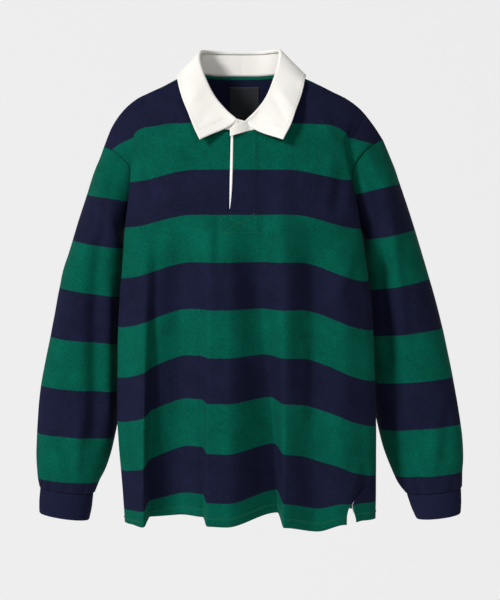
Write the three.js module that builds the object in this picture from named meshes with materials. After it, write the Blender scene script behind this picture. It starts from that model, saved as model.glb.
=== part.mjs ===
// Long-sleeved rugby shirt, hollow and hanging as if filled out, in millimetres.
// +X is the right of the picture, the front faces -Y and +Z is up.
// The origin lies between the two high shoulder points, where the shirt is held up.
import * as THREE from 'three';

// Driving sizes
const jerseyWall = 1.6;
const twillWall = 2.0;
const ribWall = 2.6;
const labelWall = 1.0;
const tapeWall = 1.0;
const seamGap = 0.3;
const panelTrim = 0.2;
const sleeveTrim = 0.3;
const sharpSeam = 0.75;
const bodyLength = 704;
const armholeDepth = 215;
const underarmTurn = 1.12;
const seamTurn = 0.06;
const bodyRoundness = 0.85;
const cuffHeight = 42;
const slitX = -18;
const slitWidth = 4;
const slitEnd = 213;
const underlap = { left: -27, right: 12, top: 100, bottom: 214 };
const label = { left: -20, right: 30, top: -12, bottom: -66 };
const vent = { top: 664, spread: 0.08, tapeTop: 0.05, tapeEnd: 0.36, face: 0.6 };
const backFace = 0.35;
const underlapFace = 0.7;
const leafBulge = 5;
const leafClear = 1.3;
const standLift = 0.9;
const standInset = 0.988;
const standEnd = 8;
const leafEnd = 5;
const lapUnder = { x: 14, y: -66, z: -91, lean: 2, rise: 15 };
const lapOver = { x: -17, y: -78, z: -98, lean: 0, rise: 12 };
const lapForward = -3;
const sideTurn = 100;
const ribCount = 44;
const ribRelief = 0.5;
const foldFade = 30;

// A table has its column names first and then one row for each section or fold.
function table(names, rows) {
  return rows.map((row) => Object.fromEntries(names.map((name, i) => [name, row[i]])));
}

// Body sections: drop is the depth down the cloth at centre front, left and right are the outer edges,
// edge is how deep those edges lie, and leftSag and rightSag are how far the cloth drops at the sides.
const bodySections = table(
  ['drop', 'front', 'back', 'edge', 'left', 'right', 'leftSag', 'rightSag', 'leftSeam', 'rightSeam'],
  [
    [100, -73, 68, -46, -166, 163, 8, 8, 1.12, 1.12],
    [125, -78, 73, -44, -173, 171, 16, 14, 1.12, 1.12],
    [150, -81, 76, -41, -176, 176, 19, 16, 1.12, 1.12],
    [185, -86, 79, -36, -181, 184, 20, 19, 1.12, 1.12],
    [215, -88, 80, -32, -185, 190, 20, 22, 1.12, 1.12],
    [293, -92, 82, -30, -192, 203, 27, 32, 1.12, 1.12],
    [365, -92, 82, -30, -197, 211, 31, 36, 1.12, 1.10],
    [437, -90, 82, -30, -199, 215, 38, 43, 1.12, 1.06],
    [512, -88, 82, -30, -199, 217, 39, 46, 1.12, 1.0],
    [588, -85, 80, -30, -194, 217, 40, 49, 1.12, 0.88],
    [667, -82, 78, -28, -187, 217, 26, 15, 1.12, 0.61],
    [704, -80, 76, -28, -186, 216, 11, 11, 1.12, 0.54],
  ],
);

// Fold lines of the front: ridges stand forward of the cloth between them and valleys lie back.
const frontFolds = table(
  ['topX', 'hemX', 'topForward', 'hemForward', 'dip'],
  [
    [-178, -176, 0, 4, 0],
    [-150, -146, 8, 22, -11],
    [-95, -101, -12, -24, -6],
    [-45, -31, 10, 22, 9],
    [20, 50, -9, -24, -8],
    [70, 66, 13, 24, 11],
    [114, 116, -12, -4, 14],
    [160, 168, 3, 6, 5],
  ],
);

// Fold lines of the back, uneven as on the front.
const backFolds = table(
  ['topX', 'hemX', 'topForward', 'hemForward', 'dip'],
  [
    [-165, -160, 0, 4, 2],
    [-112, -120, 8, 20, 6],
    [-60, -72, -10, -20, 0],
    [-8, -14, 10, 20, 8],
    [48, 40, -9, -21, 0],
    [98, 92, 9, 19, 7],
    [150, 150, -3, -8, 0],
  ],
);
const foldStart = 190;
const foldFull = 330;

// The shoulder seam from the neck point out to the sleeve head.
const shoulderSeam = table(
  ['leftX', 'rightX', 'y', 'leftZ', 'rightZ'],
  [
    [-84, 84, -12, 0, 0],
    [-101, 102, -13, -7.5, -7.5],
    [-124, 124, -14, -16, -14],
    [-146, 146, -14, -26, -25],
    [-168, 170, -13, -37, -37],
    [-189, 192, -11, -55, -54],
    [-207, 212, -7, -80, -78],
    [-221, 228, 0, -112, -101],
  ],
);

// Armhole edge of the front and of the back, from the sleeve head down to the underarm.
const armholeFront = table(
  ['drop', 'leftX', 'rightX', 'y', 'leftZ', 'rightZ'],
  [
    [100, -197, 200, -31, -122, -115],
    [125, -178, 179, -35, -142, -142],
    [150, -170, 174, -26, -176, -176],
    [185, -176, 180, -12, -210, -209],
  ],
);
const armholeBack = table(
  ['drop', 'leftX', 'rightX', 'y', 'leftZ', 'rightZ'],
  [
    [100, -210, 216, 30, -130, -120],
    [125, -198, 202, 46, -156, -150],
    [150, -188, 192, 44, -184, -180],
    [185, -184, 188, 28, -213, -212],
  ],
);

// The neck edge as heights over a ring round the neck; turn is 0 at centre front and 180 at centre back.
const neckEdge = table(
  ['turn', 'x', 'y', 'z'],
  [
    [0, 0, -72, -92],
    [20, 30, -68, -86],
    [40, 54, -58, -71],
    [60, 71, -44, -46],
    [80, 81, -28, -22],
    [100, 84, -12, 0],
    [120, 78, 10, 6],
    [140, 62, 32, 6],
    [160, 34, 46, 4],
    [180, 0, 50, 4],
  ],
);

// Collar sections round the neck: the fold line on top of the stand and the outer edge of the leaf.
// turn is -180 and 180 at centre back and 0 at the throat.
const collarSections = table(
  ['turn', 'foldX', 'foldY', 'foldZ', 'edgeX', 'edgeY', 'edgeZ'],
  [
    [-180, 0, 50, 44, 0, 72, -14],
    [-150, -34, 47, 44, -48, 64, -12],
    [-125, -58, 30, 44, -88, 44, 0],
    [-105, -66, 8, 40, -105, 10, 7],
    [-85, -67, -8, 26, -102, -20, -8],
    [-65, -60, -24, 2, -94, -42, -34],
    [-40, -44, -44, -32, -84, -64, -58],
    [-20, -24, -60, -57, -73, -80, -84],
    [-5, -6, -69, -73, -64, -90, -103],
    [5, 8, -71, -74, 65, -90, -104],
    [20, 24, -62, -58, 77, -80, -80],
    [40, 40, -46, -36, 86, -64, -56],
    [65, 53, -26, -4, 95, -42, -32],
    [85, 60, -8, 22, 102, -20, -8],
    [105, 62, 8, 42, 105, 10, 7],
    [125, 54, 30, 45, 88, 44, 0],
    [150, 32, 47, 44, 48, 64, -12],
    [180, 0, 50, 44, 0, 72, -14],
  ],
);

// Sleeve sections: the outer and inner edge of each ring, the middle of its depth and half its depth.
const leftSleeve = table(
  ['outX', 'outZ', 'inX', 'inZ', 'y', 'half'],
  [
    [-234, -140, -190, -254, 16, 56],
    [-246, -172, -188, -276, 22, 58],
    [-268, -238, -190, -312, 32, 58],
    [-295, -327, -193, -374, 38, 54],
    [-314, -416, -196, -448, 40, 50],
    [-331, -505, -200, -530, 38, 46],
    [-337, -580, -212, -600, 32, 41],
    [-338, -620, -223, -636, 26, 36],
    [-336, -648, -235, -660, 22, 32],
  ],
);
const rightSleeve = table(
  ['outX', 'outZ', 'inX', 'inZ', 'y', 'half'],
  [
    [246, -140, 196, -254, 16, 56],
    [258, -172, 196, -276, 22, 58],
    [281, -238, 201, -312, 32, 58],
    [309, -327, 207, -374, 38, 54],
    [333, -416, 213, -448, 40, 50],
    [352, -506, 218, -530, 38, 46],
    [363, -580, 233, -600, 32, 41],
    [365, -620, 247, -638, 26, 36],
    [363, -648, 258, -662, 22, 32],
  ],
);
const leftCuff = { outX: -331, outZ: -668, inX: -244, inZ: -678, endOutX: -333, endInX: -251, tilt: -8 };
const rightCuff = { outX: 361, outZ: -669, inX: 272, inZ: -678, endOutX: 361, endInX: 288, tilt: -9 };
// Rings of a cuff: how far down it they are, and how far the ribs are drawn in there.
const cuffRings = table(
  ['height', 'inset'],
  [
    [0, 0.6],
    [0.25, 0],
    [0.75, 0],
    [1, 0.8],
  ],
);
const cuffMiddle = 18;
const cuffHalf = 27;
const sleeveHemHalf = 28;

// Grid counts: columns across and rows down each piece.
const neckColumns = 14;
const shoulderColumns = 8;
const turnColumns = 3;
const backNeckColumns = 8;
const topRows = 3;
const armholeRows = 5;
const lowerRows = 11;
const sleeveRows = 15;

const green = '#0b5a46';
const navy = '#1c2036';
const white = '#f7f4ee';
const charcoal = '#2b2c2f';

// Soft step from 0 to 1 between two values.
function ramp(low, high, value) {
  const t = THREE.MathUtils.clamp((value - low) / (high - low), 0, 1);
  return t * t * (3 - 2 * t);
}

// Reads every column of a table at a value of its key column, on a smooth curve through the rows.
function readTable(rows, key, value) {
  let i = 0;
  while (i < rows.length - 2 && value > rows[i + 1][key]) i += 1;
  const span = rows[i + 1][key] - rows[i][key];
  const t = THREE.MathUtils.clamp((value - rows[i][key]) / span, 0, 1);
  const before = rows[Math.max(i - 1, 0)];
  const after = rows[Math.min(i + 2, rows.length - 1)];
  const result = {};
  for (const name of Object.keys(rows[0])) {
    const a = rows[i][name];
    const b = rows[i + 1][name];
    const slopeA = ((b - before[name]) / (rows[i + 1][key] - before[key])) * span;
    const slopeB = ((after[name] - a) / (after[key] - rows[i][key])) * span;
    const t2 = t * t;
    const t3 = t2 * t;
    result[name] = a * (2 * t3 - 3 * t2 + 1) + slopeA * (t3 - 2 * t2 + t)
      + b * (3 * t2 - 2 * t3) + slopeB * (t3 - t2);
  }
  result[key] = value;
  return result;
}

// How far the cloth stands out and dips at a place across, from the fold lines on both sides of it.
function foldAt(folds, x, drop) {
  const down = ramp(foldStart, bodyLength, drop);
  const grown = ramp(foldStart, foldFull, drop);
  const lines = folds.map((line) => ({
    x: THREE.MathUtils.lerp(line.topX, line.hemX, down),
    forward: THREE.MathUtils.lerp(line.topForward, line.hemForward, down) * grown,
    dip: line.dip * down * down,
  }));
  if (x <= lines[0].x || x >= lines[lines.length - 1].x) {
    const end = x <= lines[0].x ? lines[0] : lines[lines.length - 1];
    const fade = 1 - ramp(0, foldFade, Math.abs(x - end.x));
    return { forward: end.forward * fade, dip: end.dip * fade };
  }
  let i = 0;
  while (x > lines[i + 1].x) i += 1;
  const t = ramp(lines[i].x, lines[i + 1].x, x);
  return {
    forward: THREE.MathUtils.lerp(lines[i].forward, lines[i + 1].forward, t),
    dip: THREE.MathUtils.lerp(lines[i].dip, lines[i + 1].dip, t),
  };
}

// A point on the ring of the body at one drop. turn is 0 at centre front, 1 at the edge seen from the
// front and 2 at centre back, negative on the left.
function bodyPoint(section, turn) {
  const angle = (turn * Math.PI) / 2;
  const middle = (section.left + section.right) / 2;
  const halfWidth = (section.right - section.left) / 2;
  const x = middle + halfWidth * Math.sin(angle);
  const lie = Math.cos(angle);
  const atFront = lie > 0;
  const reach = Math.pow(Math.abs(lie), bodyRoundness);
  const deep = atFront ? section.front : section.back;
  const fold = foldAt(atFront ? frontFolds : backFolds, x, section.drop);
  const faceOn = ramp(0.05, 0.5, Math.abs(lie));
  const out = atFront ? -1 : 1;
  const y = section.edge + (deep - section.edge) * reach + out * fold.forward * faceOn;
  const sag = turn < 0 ? section.leftSag : section.rightSag;
  const aside = ramp(0.4, 1, Math.abs(Math.sin(angle)));
  const z = -section.drop - sag * aside - fold.dip * faceOn;
  return new THREE.Vector3(x, y, z);
}

// The armhole point of one side and one panel at a drop between the sleeve head and the underarm.
function armholePoint(rows, side, section) {
  const drop = Math.min(Math.max(section.drop, rows[0].drop), armholeDepth);
  const name = side < 0 ? 'left' : 'right';
  const underarm = bodyPoint(readTable(bodySections, 'drop', armholeDepth), side * underarmTurn);
  const end = { drop: armholeDepth, y: underarm.y };
  end[`${name}X`] = underarm.x;
  end[`${name}Z`] = underarm.z;
  const place = readTable([...rows, { ...rows[rows.length - 1], ...end }], 'drop', drop);
  return new THREE.Vector3(place[`${name}X`], place.y, place[`${name}Z`]);
}

// The shoulder seam at a share of its length, 0 at the neck and 1 at the sleeve head.
function shoulderPoint(side, share) {
  const rows = shoulderSeam.map((row, i) => ({ ...row, share: i / (shoulderSeam.length - 1) }));
  const place = readTable(rows, 'share', share);
  return side < 0
    ? new THREE.Vector3(place.leftX, place.y, place.leftZ)
    : new THREE.Vector3(place.rightX, place.y, place.rightZ);
}

// The neck edge at a turn from -180 to 180 degrees, 0 at centre front.
function neckPoint(turn) {
  const place = readTable(neckEdge, 'turn', Math.abs(turn));
  return new THREE.Vector3(Math.sign(turn) * place.x, place.y, place.z);
}

// Pulls the ends of a row over to the armhole edge, more the nearer a column is to that edge.
function pullToArmhole(point, share, edge, ringEdge, from) {
  const pull = ramp(from, 1, share);
  return point.add(edge.clone().sub(ringEdge).multiplyScalar(pull));
}

// How far each side of a vent stands back from the seam line.
function ventSpread(drop) {
  return vent.spread * ramp(vent.top, bodyLength, drop);
}

// One row of the front at a drop, columns from the left seam to the right seam.
function frontRow(drop, columns) {
  const section = readTable(bodySections, 'drop', drop);
  return columns.map((column) => {
    const side = column < 0 ? -1 : 1;
    const seam = (side < 0 ? section.leftSeam : section.rightSeam) - ventSpread(drop);
    const faceEnd = Math.min(1, seam - seamTurn);
    const share = Math.abs(column);
    const turn = share <= 1 ? share * faceEnd : faceEnd + (share - 1) * (seam - faceEnd);
    const point = bodyPoint(section, side * turn);
    if (drop >= armholeDepth || share <= 1) return point;
    const edge = armholePoint(armholeFront, side, section);
    return pullToArmhole(point, share - 1, edge, bodyPoint(section, side * seam), 0);
  });
}

// One row of the back at a drop, columns from the right seam to the left seam as seen from the front.
function backRow(drop, columns) {
  const section = readTable(bodySections, 'drop', drop);
  return columns.map((column) => {
    const side = column < 0 ? 1 : -1;
    const seam = (side < 0 ? section.leftSeam : section.rightSeam) + ventSpread(drop);
    const share = Math.abs(column);
    const turn = 2 - share * (2 - seam);
    const point = bodyPoint(section, side * turn);
    if (drop >= armholeDepth) return point;
    const edge = armholePoint(armholeBack, side, section);
    return pullToArmhole(point, share, edge, bodyPoint(section, side * seam), 0.5);
  });
}

// The top edge of the front: shoulder seam, neck edge, shoulder seam.
const frontNeckShare = 0.36;
const faceShoulder = 0.66;
function frontTop(column) {
  const side = column < 0 ? -1 : 1;
  const share = Math.abs(column);
  if (share < frontNeckShare - 0.001) return neckPoint((column / frontNeckShare) * sideTurn);
  return shoulderPoint(side, share <= 1
    ? (faceShoulder * (share - frontNeckShare)) / (1 - frontNeckShare)
    : faceShoulder + (1 - faceShoulder) * (share - 1));
}

const backNeckShare = 0.42;
function backTop(column) {
  const side = column < 0 ? 1 : -1;
  const share = Math.abs(column);
  if (share < backNeckShare - 0.001) {
    return neckPoint(side * (180 - (share / backNeckShare) * (180 - sideTurn)));
  }
  return shoulderPoint(side, (share - backNeckShare) / (1 - backNeckShare));
}

// Drops of the rows below the top part, closer together where the folds change.
function rowDrops(count) {
  const drops = bodySections.slice(0, armholeRows).map((row) => row.drop);
  const below = bodyLength - armholeDepth;
  for (let i = 1; i <= count; i += 1) drops.push(armholeDepth + (below * i) / count);
  return drops;
}

// Points of a panel: a few rows from its top edge down to the first full section, then the sections.
function panelGrid(columns, top, row, drops, crest) {
  const first = row(drops[0], columns);
  const grid = [];
  for (let j = 0; j < topRows; j += 1) {
    const t = j / topRows;
    grid.push(columns.map((column, i) => {
      const start = top(column);
      const middle = start.clone().lerp(first[i], 0.5).add(crest(column, start));
      const a = start.clone().lerp(middle, t);
      return a.lerp(middle.clone().lerp(first[i], t), t);
    }));
  }
  for (const drop of drops) grid.push(row(drop, columns));
  return grid;
}

function frontCrest(column, start) {
  return new THREE.Vector3(0, -2 - 4 * ramp(0.2, 0.5, Math.abs(column)) * (start.z > -60 ? 1 : 0), 1);
}

function backCrest(column) {
  const overShoulder = ramp(0.3, 0.5, Math.abs(column)) * (1 - ramp(0.9, 1, Math.abs(column)));
  return new THREE.Vector3(0, 4 + 6 * overShoulder, 3 + 9 * overShoulder);
}

// Vertex directions of a grid, from the directions along its rows and columns.
function gridNormals(grid, ring) {
  const rows = grid.length;
  const columns = grid[0].length;
  return grid.map((line, j) => line.map((point, i) => {
    const right = ring ? line[(i + 1) % columns] : line[Math.min(i + 1, columns - 1)];
    const left = ring ? line[(i + columns - 1) % columns] : line[Math.max(i - 1, 0)];
    const below = grid[Math.min(j + 1, rows - 1)][i];
    const above = grid[Math.max(j - 1, 0)][i];
    const across = right.clone().sub(left);
    const down = below.clone().sub(above);
    return down.cross(across).normalize();
  }));
}

// Seam points that two pieces share get one direction, so that their walls meet edge to edge.
function shareSeams(pieces) {
  const sums = new Map();
  const name = (point) => point.toArray().map((value) => value.toFixed(1)).join(' ');
  for (const piece of pieces) {
    piece.grid.forEach((line, j) => line.forEach((point, i) => {
      const key = name(point);
      if (!sums.has(key)) sums.set(key, { normal: new THREE.Vector3(), around: new THREE.Vector3() });
      sums.get(key).normal.add(piece.normals[j][i]);
      const above = piece.grid[Math.max(j - 1, 0)][i];
      const below = piece.grid[Math.min(j + 1, piece.grid.length - 1)][i];
      const left = line[Math.max(i - 1, 0)];
      const right = line[Math.min(i + 1, line.length - 1)];
      for (const next of [above, below, left, right]) sums.get(key).around.add(next).sub(point);
    }));
  }
  for (const piece of pieces) {
    piece.normals = piece.grid.map((line, j) => line.map((point, i) => {
      const { normal, around } = sums.get(name(point));
      const shared = normal.clone().normalize();
      const own = piece.normals[j][i];
      const inValley = around.dot(shared) > 0;
      return inValley && shared.dot(own) < sharpSeam ? own : shared;
    }));
  }
}

// Draws the outer edges of a grid back by half a seam gap.
function trimEdges(grid, edges) {
  const rows = grid.length;
  const columns = grid[0].length;
  const step = (from, to) => to.clone().sub(from).setLength(edges.by);
  const moved = grid.map((line) => line.map((point) => point.clone()));
  for (let i = 0; i < columns; i += 1) {
    if (edges.top) moved[0][i].add(step(grid[0][i], grid[1][i]));
    if (edges.bottom) moved[rows - 1][i].add(step(grid[rows - 1][i], grid[rows - 2][i]));
  }
  for (let j = 0; j < rows; j += 1) {
    if (edges.sides) moved[j][0].add(step(grid[j][0], grid[j][1]));
    if (edges.sides) moved[j][columns - 1].add(step(grid[j][columns - 1], grid[j][columns - 2]));
  }
  return moved;
}

// A closed wall of cloth from a grid of outer points. keep(row, column) says which squares are there.
function clothWall(outer, inner, ring, keep = () => true) {
  const rows = outer.length;
  const columns = outer[0].length;
  const across = ring ? columns : columns - 1;
  const positions = [];
  for (const sheet of [outer, inner]) {
    for (const line of sheet) {
      for (const point of line) positions.push(point.x, point.y, point.z);
    }
  }
  const count = rows * columns;
  const at = (j, i) => j * columns + (i % columns);
  const index = [];
  const here = (j, i) => {
    if (j < 0 || j >= rows - 1) return false;
    if (!ring && (i < 0 || i >= across)) return false;
    return keep(j, (i + across) % across);
  };
  const square = (a, b, c, d) => index.push(a, b, c, a, c, d);
  for (let j = 0; j < rows - 1; j += 1) {
    for (let i = 0; i < across; i += 1) {
      if (!here(j, i)) continue;
      const corners = [at(j, i), at(j + 1, i), at(j + 1, i + 1), at(j, i + 1)];
      square(...corners);
      square(corners[3] + count, corners[2] + count, corners[1] + count, corners[0] + count);
      const neighbours = [here(j, i - 1), here(j + 1, i), here(j, i + 1), here(j - 1, i)];
      neighbours.forEach((there, side) => {
        if (there) return;
        const a = corners[side];
        const b = corners[(side + 1) % 4];
        square(b, a, a + count, b + count);
      });
    }
  }
  const used = new Map();
  const packed = [];
  const newIndex = index.map((old) => {
    if (!used.has(old)) {
      used.set(old, used.size);
      packed.push(positions[3 * old], positions[3 * old + 1], positions[3 * old + 2]);
    }
    return used.get(old);
  });
  const geometry = new THREE.BufferGeometry();
  geometry.setAttribute('position', new THREE.Float32BufferAttribute(packed, 3));
  geometry.setIndex(newIndex);
  geometry.computeVertexNormals();
  return geometry;
}

function insideOf(grid, normals, thickness) {
  return grid.map((line, j) => line.map((point, i) => {
    return point.clone().addScaledVector(normals[j][i], -thickness);
  }));
}

function clothMesh(name, geometry, colour, roughness) {
  const material = new THREE.MeshStandardMaterial({ color: colour, roughness, metalness: 0 });
  const mesh = new THREE.Mesh(geometry, material);
  mesh.name = name;
  return mesh;
}

// Column places of the front, with two at the edges of the slit.
function frontColumns() {
  const section = readTable(bodySections, 'drop', slitEnd);
  const middle = (section.left + section.right) / 2;
  const halfWidth = (section.right - section.left) / 2;
  const place = (x) => (Math.asin((x - middle) / halfWidth) * 2) / Math.PI;
  const slit = [place(slitX - slitWidth / 2), place(slitX + slitWidth / 2)];
  const columns = [];
  for (let i = 0; i < turnColumns; i += 1) columns.push(-2 + i / turnColumns);
  const shoulder = 1 - frontNeckShare;
  for (let i = 0; i < shoulderColumns; i += 1) columns.push(-1 + (shoulder * i) / shoulderColumns);
  for (let i = 0; i < neckColumns; i += 1) columns.push(frontNeckShare * (-1 + (2 * i) / neckColumns));
  for (let i = 0; i <= shoulderColumns; i += 1) {
    columns.push(frontNeckShare + (shoulder * i) / shoulderColumns);
  }
  for (let i = 1; i <= turnColumns; i += 1) columns.push(1 + i / turnColumns);
  const middleColumn = columns.findIndex((column) => column > -0.001);
  columns.splice(middleColumn - 1, 1, ...slit);
  return { columns, slitColumn: middleColumn - 1 };
}

// Column places of the back, with the same points along the shoulder seams as the front has.
function backColumnPlaces() {
  const shoulder = [];
  const rest = 1 - faceShoulder;
  for (let i = 0; i < shoulderColumns; i += 1) shoulder.push((faceShoulder * i) / shoulderColumns);
  for (let i = 0; i <= turnColumns; i += 1) shoulder.push(faceShoulder + (rest * i) / turnColumns);
  const out = shoulder.map((share) => backNeckShare + (1 - backNeckShare) * share);
  const neck = [];
  for (let i = 1; i < backNeckColumns; i += 1) neck.push(backNeckShare * (-1 + (2 * i) / backNeckColumns));
  return [...out.map((place) => -place).reverse(), ...neck, ...out];
}

// The ring where a sleeve meets the body, down the front armhole and up the back one.
function armholeRing(side, front, back) {
  const frontSide = side < 0 ? 0 : front[0].length - 1;
  const backSide = side < 0 ? back[0].length - 1 : 0;
  const rows = topRows + armholeRows;
  const down = front.slice(0, rows).map((line) => line[frontSide]);
  const up = back.slice(1, rows - 1).map((line) => line[backSide]).reverse();
  return [...down, ...up];
}

// A sleeve from the armhole ring through its table of sections to the cuff.
function sleeveGrid(side, sections, cuff, start) {
  const count = start.length;
  const underarm = topRows + armholeRows - 1;
  const share = (i) => (i <= underarm ? i / underarm : 1 + (i - underarm) / (count - underarm));
  const hem = { ...cuff, y: cuffMiddle, half: sleeveHemHalf };
  const keys = [...sections, hem].map((row) => start.map((point, i) => {
    const angle = share(i) * Math.PI;
    const reach = (1 - Math.cos(angle)) / 2;
    return new THREE.Vector3(
      THREE.MathUtils.lerp(row.outX, row.inX, reach),
      row.y - row.half * Math.sin(angle),
      THREE.MathUtils.lerp(row.outZ, row.inZ, reach),
    );
  }));
  const rings = [start, ...keys];
  const lines = start.map((point, i) => {
    const through = rings.map((ring) => ring[i]);
    return new THREE.CatmullRomCurve3(through, false, 'centripetal');
  });
  const grid = [];
  for (let j = 0; j <= sleeveRows; j += 1) {
    grid.push(lines.map((line) => line.getPoint(j / sleeveRows)));
  }
  return grid;
}

// A ribbed cuff: its outer points rise and fall with the ribs over a plain inside.
function cuffGrids(cuff) {
  const steps = ribCount * 2;
  const outer = [];
  const inner = [];
  for (const { height, inset } of cuffRings) {
    const outX = THREE.MathUtils.lerp(cuff.outX, cuff.endOutX, height);
    const inX = THREE.MathUtils.lerp(cuff.inX, cuff.endInX, height);
    const outZ = cuff.outZ - seamGap - cuffHeight * height;
    const inZ = cuff.inZ - seamGap - (cuffHeight + cuff.tilt - (cuff.inZ - cuff.outZ)) * height;
    const rib = (i) => (i % 2 === 0 ? 0 : -ribRelief);
    const place = (i, offset) => {
      const angle = (i / steps) * 2 * Math.PI;
      const middle = (outX + inX) / 2;
      const half = Math.abs(outX - inX) / 2 + offset;
      const side = Math.sign(outX);
      return new THREE.Vector3(
        middle + side * half * Math.cos(angle),
        cuffMiddle - (cuffHalf + offset) * Math.sin(angle),
        THREE.MathUtils.lerp(outZ, inZ, (1 - Math.cos(angle)) / 2),
      );
    };
    const line = [...Array(steps).keys()];
    outer.push(line.map((i) => place(i, rib(i) - inset)));
    inner.push(line.map((i) => place(i, -ribWall)));
  }
  return { outer, inner };
}

// The collar's section at a turn, from the rows of its own half.
function collarPlace(turn) {
  const half = collarSections.filter((row) => (row.turn < 0) === (turn < 0));
  return readTable(half, 'turn', turn);
}

// Places round the neck from the throat on the left over the back to the throat on the right, at the
// neck edge's own points. The first and the last are as given.
function collarTurns(throat) {
  const turns = [throat];
  const behind = 180 - sideTurn;
  for (let i = 1; i <= neckColumns / 2; i += 1) turns.push((sideTurn * i * 2) / neckColumns);
  for (let i = 1; i < backNeckColumns / 2; i += 1) turns.push(sideTurn + (behind * i * 2) / backNeckColumns);
  return [...turns.map((turn) => -turn), 180, ...[...turns].reverse()];
}

// The stand: from the neck edge up to the fold line, its right end lapped over its left end at the throat.
function standGrid() {
  const turns = collarTurns(standEnd);
  const heights = [0, 0.5, 1];
  return heights.map((height) => {
    const line = turns.map((turn) => {
      const place = collarPlace(turn);
      const foot = neckPoint(turn);
      foot.set(foot.x * standInset, foot.y * standInset, foot.z + standLift);
      return foot.lerp(new THREE.Vector3(place.foldX, place.foldY, place.foldZ), height);
    });
    const lapEnd = (lap) => new THREE.Vector3(lap.x, lap.y + lap.lean * height, lap.z + lap.rise * height);
    const over = lapEnd(lapOver);
    const lapped = line[line.length - 1].clone().lerp(over, 0.5);
    lapped.y += lapForward;
    return [lapEnd(lapUnder), ...line, lapped, over];
  });
}

// The leaf: from the fold line down and outwards to its own edge, a little rounded.
function leafGrid() {
  const turns = collarTurns(leafEnd);
  const shares = [0, 0.12, 0.4, 0.7, 1];
  return shares.map((share) => turns.map((turn) => {
    const place = collarPlace(turn);
    const edge = new THREE.Vector3(place.edgeX, place.edgeY, place.edgeZ);
    const fold = new THREE.Vector3(place.foldX, place.foldY, place.foldZ + 1);
    const outward = edge.clone().sub(fold).setZ(0).normalize();
    fold.addScaledVector(outward, twillWall + leafClear);
    return fold.lerp(edge, share).addScaledVector(outward, leafBulge * Math.sin(Math.PI * share));
  }).reverse());
}

// A strip that lies inside a panel: points of the panel moved inwards, seen from the panel's outer side.
function insideStrip(points, depth, wall) {
  const normals = gridNormals(points, false);
  const outer = insideOf(points, normals, depth);
  return { outer, inner: insideOf(points, normals, depth + wall) };
}

// The white strip behind the slit.
function underlapGrid() {
  const rows = 8;
  const places = [0, 0.25, 0.5, 0.75, 1];
  const points = [];
  for (let j = 0; j <= rows; j += 1) {
    const drop = THREE.MathUtils.lerp(underlap.top, underlap.bottom, j / rows);
    const section = readTable(bodySections, 'drop', drop);
    const middle = (section.left + section.right) / 2;
    const halfWidth = (section.right - section.left) / 2;
    points.push(places.map((place) => {
      const x = THREE.MathUtils.lerp(underlap.left, underlap.right, place);
      return bodyPoint(section, (Math.asin((x - middle) / halfWidth) * 2) / Math.PI);
    }));
  }
  return insideStrip(points, jerseyWall + underlapFace, tapeWall);
}

// A point of a grid at a place across and a height, found along its rows.
function onGrid(grid, x, z) {
  const line = grid.map((row) => {
    let i = 0;
    while (i < row.length - 2 && (row[i].x - x) * (row[i + 1].x - x) > 0) i += 1;
    return row[i].clone().lerp(row[i + 1], (x - row[i].x) / (row[i + 1].x - row[i].x));
  });
  let j = 0;
  while (j < line.length - 2 && line[j + 1].z > z) j += 1;
  return line[j].clone().lerp(line[j + 1], (z - line[j].z) / (line[j + 1].z - line[j].z));
}

// The label on the inside of the back.
function labelGrid(back) {
  const rows = 5;
  const places = [1, 0.75, 0.5, 0.25, 0];
  const points = [];
  for (let j = 0; j <= rows; j += 1) {
    const z = THREE.MathUtils.lerp(label.top, label.bottom, j / rows);
    points.push(places.map((place) => {
      return onGrid(back, THREE.MathUtils.lerp(label.left, label.right, place), z);
    }));
  }
  return insideStrip(points, jerseyWall + backFace, labelWall);
}

// The tape behind the head of one vent, from the lowest squares of the front and of the back.
function ventTapeGrid(side, front, back) {
  const ends = (grid, last) => {
    const rows = grid.slice(-2);
    return rows.map((line) => (last ? [line[line.length - 1], line[line.length - 2]] : [line[0], line[1]]));
  };
  const fromFront = ends(front, side > 0);
  const fromBack = ends(back, side < 0);
  const points = [];
  for (let j = 0; j <= 3; j += 1) {
    const down = THREE.MathUtils.lerp(vent.tapeTop, vent.tapeEnd, j / 3);
    const at = (pair, i) => pair[0][i].clone().lerp(pair[1][i], down);
    const frontEdge = at(fromFront, 0);
    const backEdge = at(fromBack, 0);
    const line = [
      frontEdge.clone().lerp(at(fromFront, 1), 0.5),
      frontEdge,
      backEdge,
      backEdge.clone().lerp(at(fromBack, 1), 0.4),
    ];
    points.push(side > 0 ? line : line.reverse());
  }
  return insideStrip(points, jerseyWall + vent.face, tapeWall);
}

const shirt = new THREE.Group();

function addWall(name, piece, thickness, colour, edges, roughness = 0.9) {
  const outer = trimEdges(piece.grid, edges);
  const inner = trimEdges(insideOf(piece.grid, piece.normals, thickness), edges);
  shirt.add(clothMesh(name, clothWall(outer, inner, piece.ring, piece.keep), colour, roughness));
}

// Panels and sleeves
const { columns: acrossFront, slitColumn } = frontColumns();
const acrossBack = backColumnPlaces();
const drops = rowDrops(lowerRows);
const front = { grid: panelGrid(acrossFront, frontTop, frontRow, drops, frontCrest), ring: false };
const back = { grid: panelGrid(acrossBack, backTop, backRow, drops, backCrest), ring: false };
front.keep = (j, i) => !(i === slitColumn && j < topRows + armholeRows - 1);

function makeSleeve(side, sections, cuff) {
  const start = armholeRing(side, front.grid, back.grid);
  const grid = sleeveGrid(side, sections, cuff, start);
  return { grid: side < 0 ? grid : grid.map((line) => [...line].reverse()), ring: true };
}
const sleeves = { left: makeSleeve(-1, leftSleeve, leftCuff), right: makeSleeve(1, rightSleeve, rightCuff) };

const sewn = [front, back, sleeves.left, sleeves.right];
for (const piece of sewn) piece.normals = gridNormals(piece.grid, piece.ring);
shareSeams(sewn);

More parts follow.
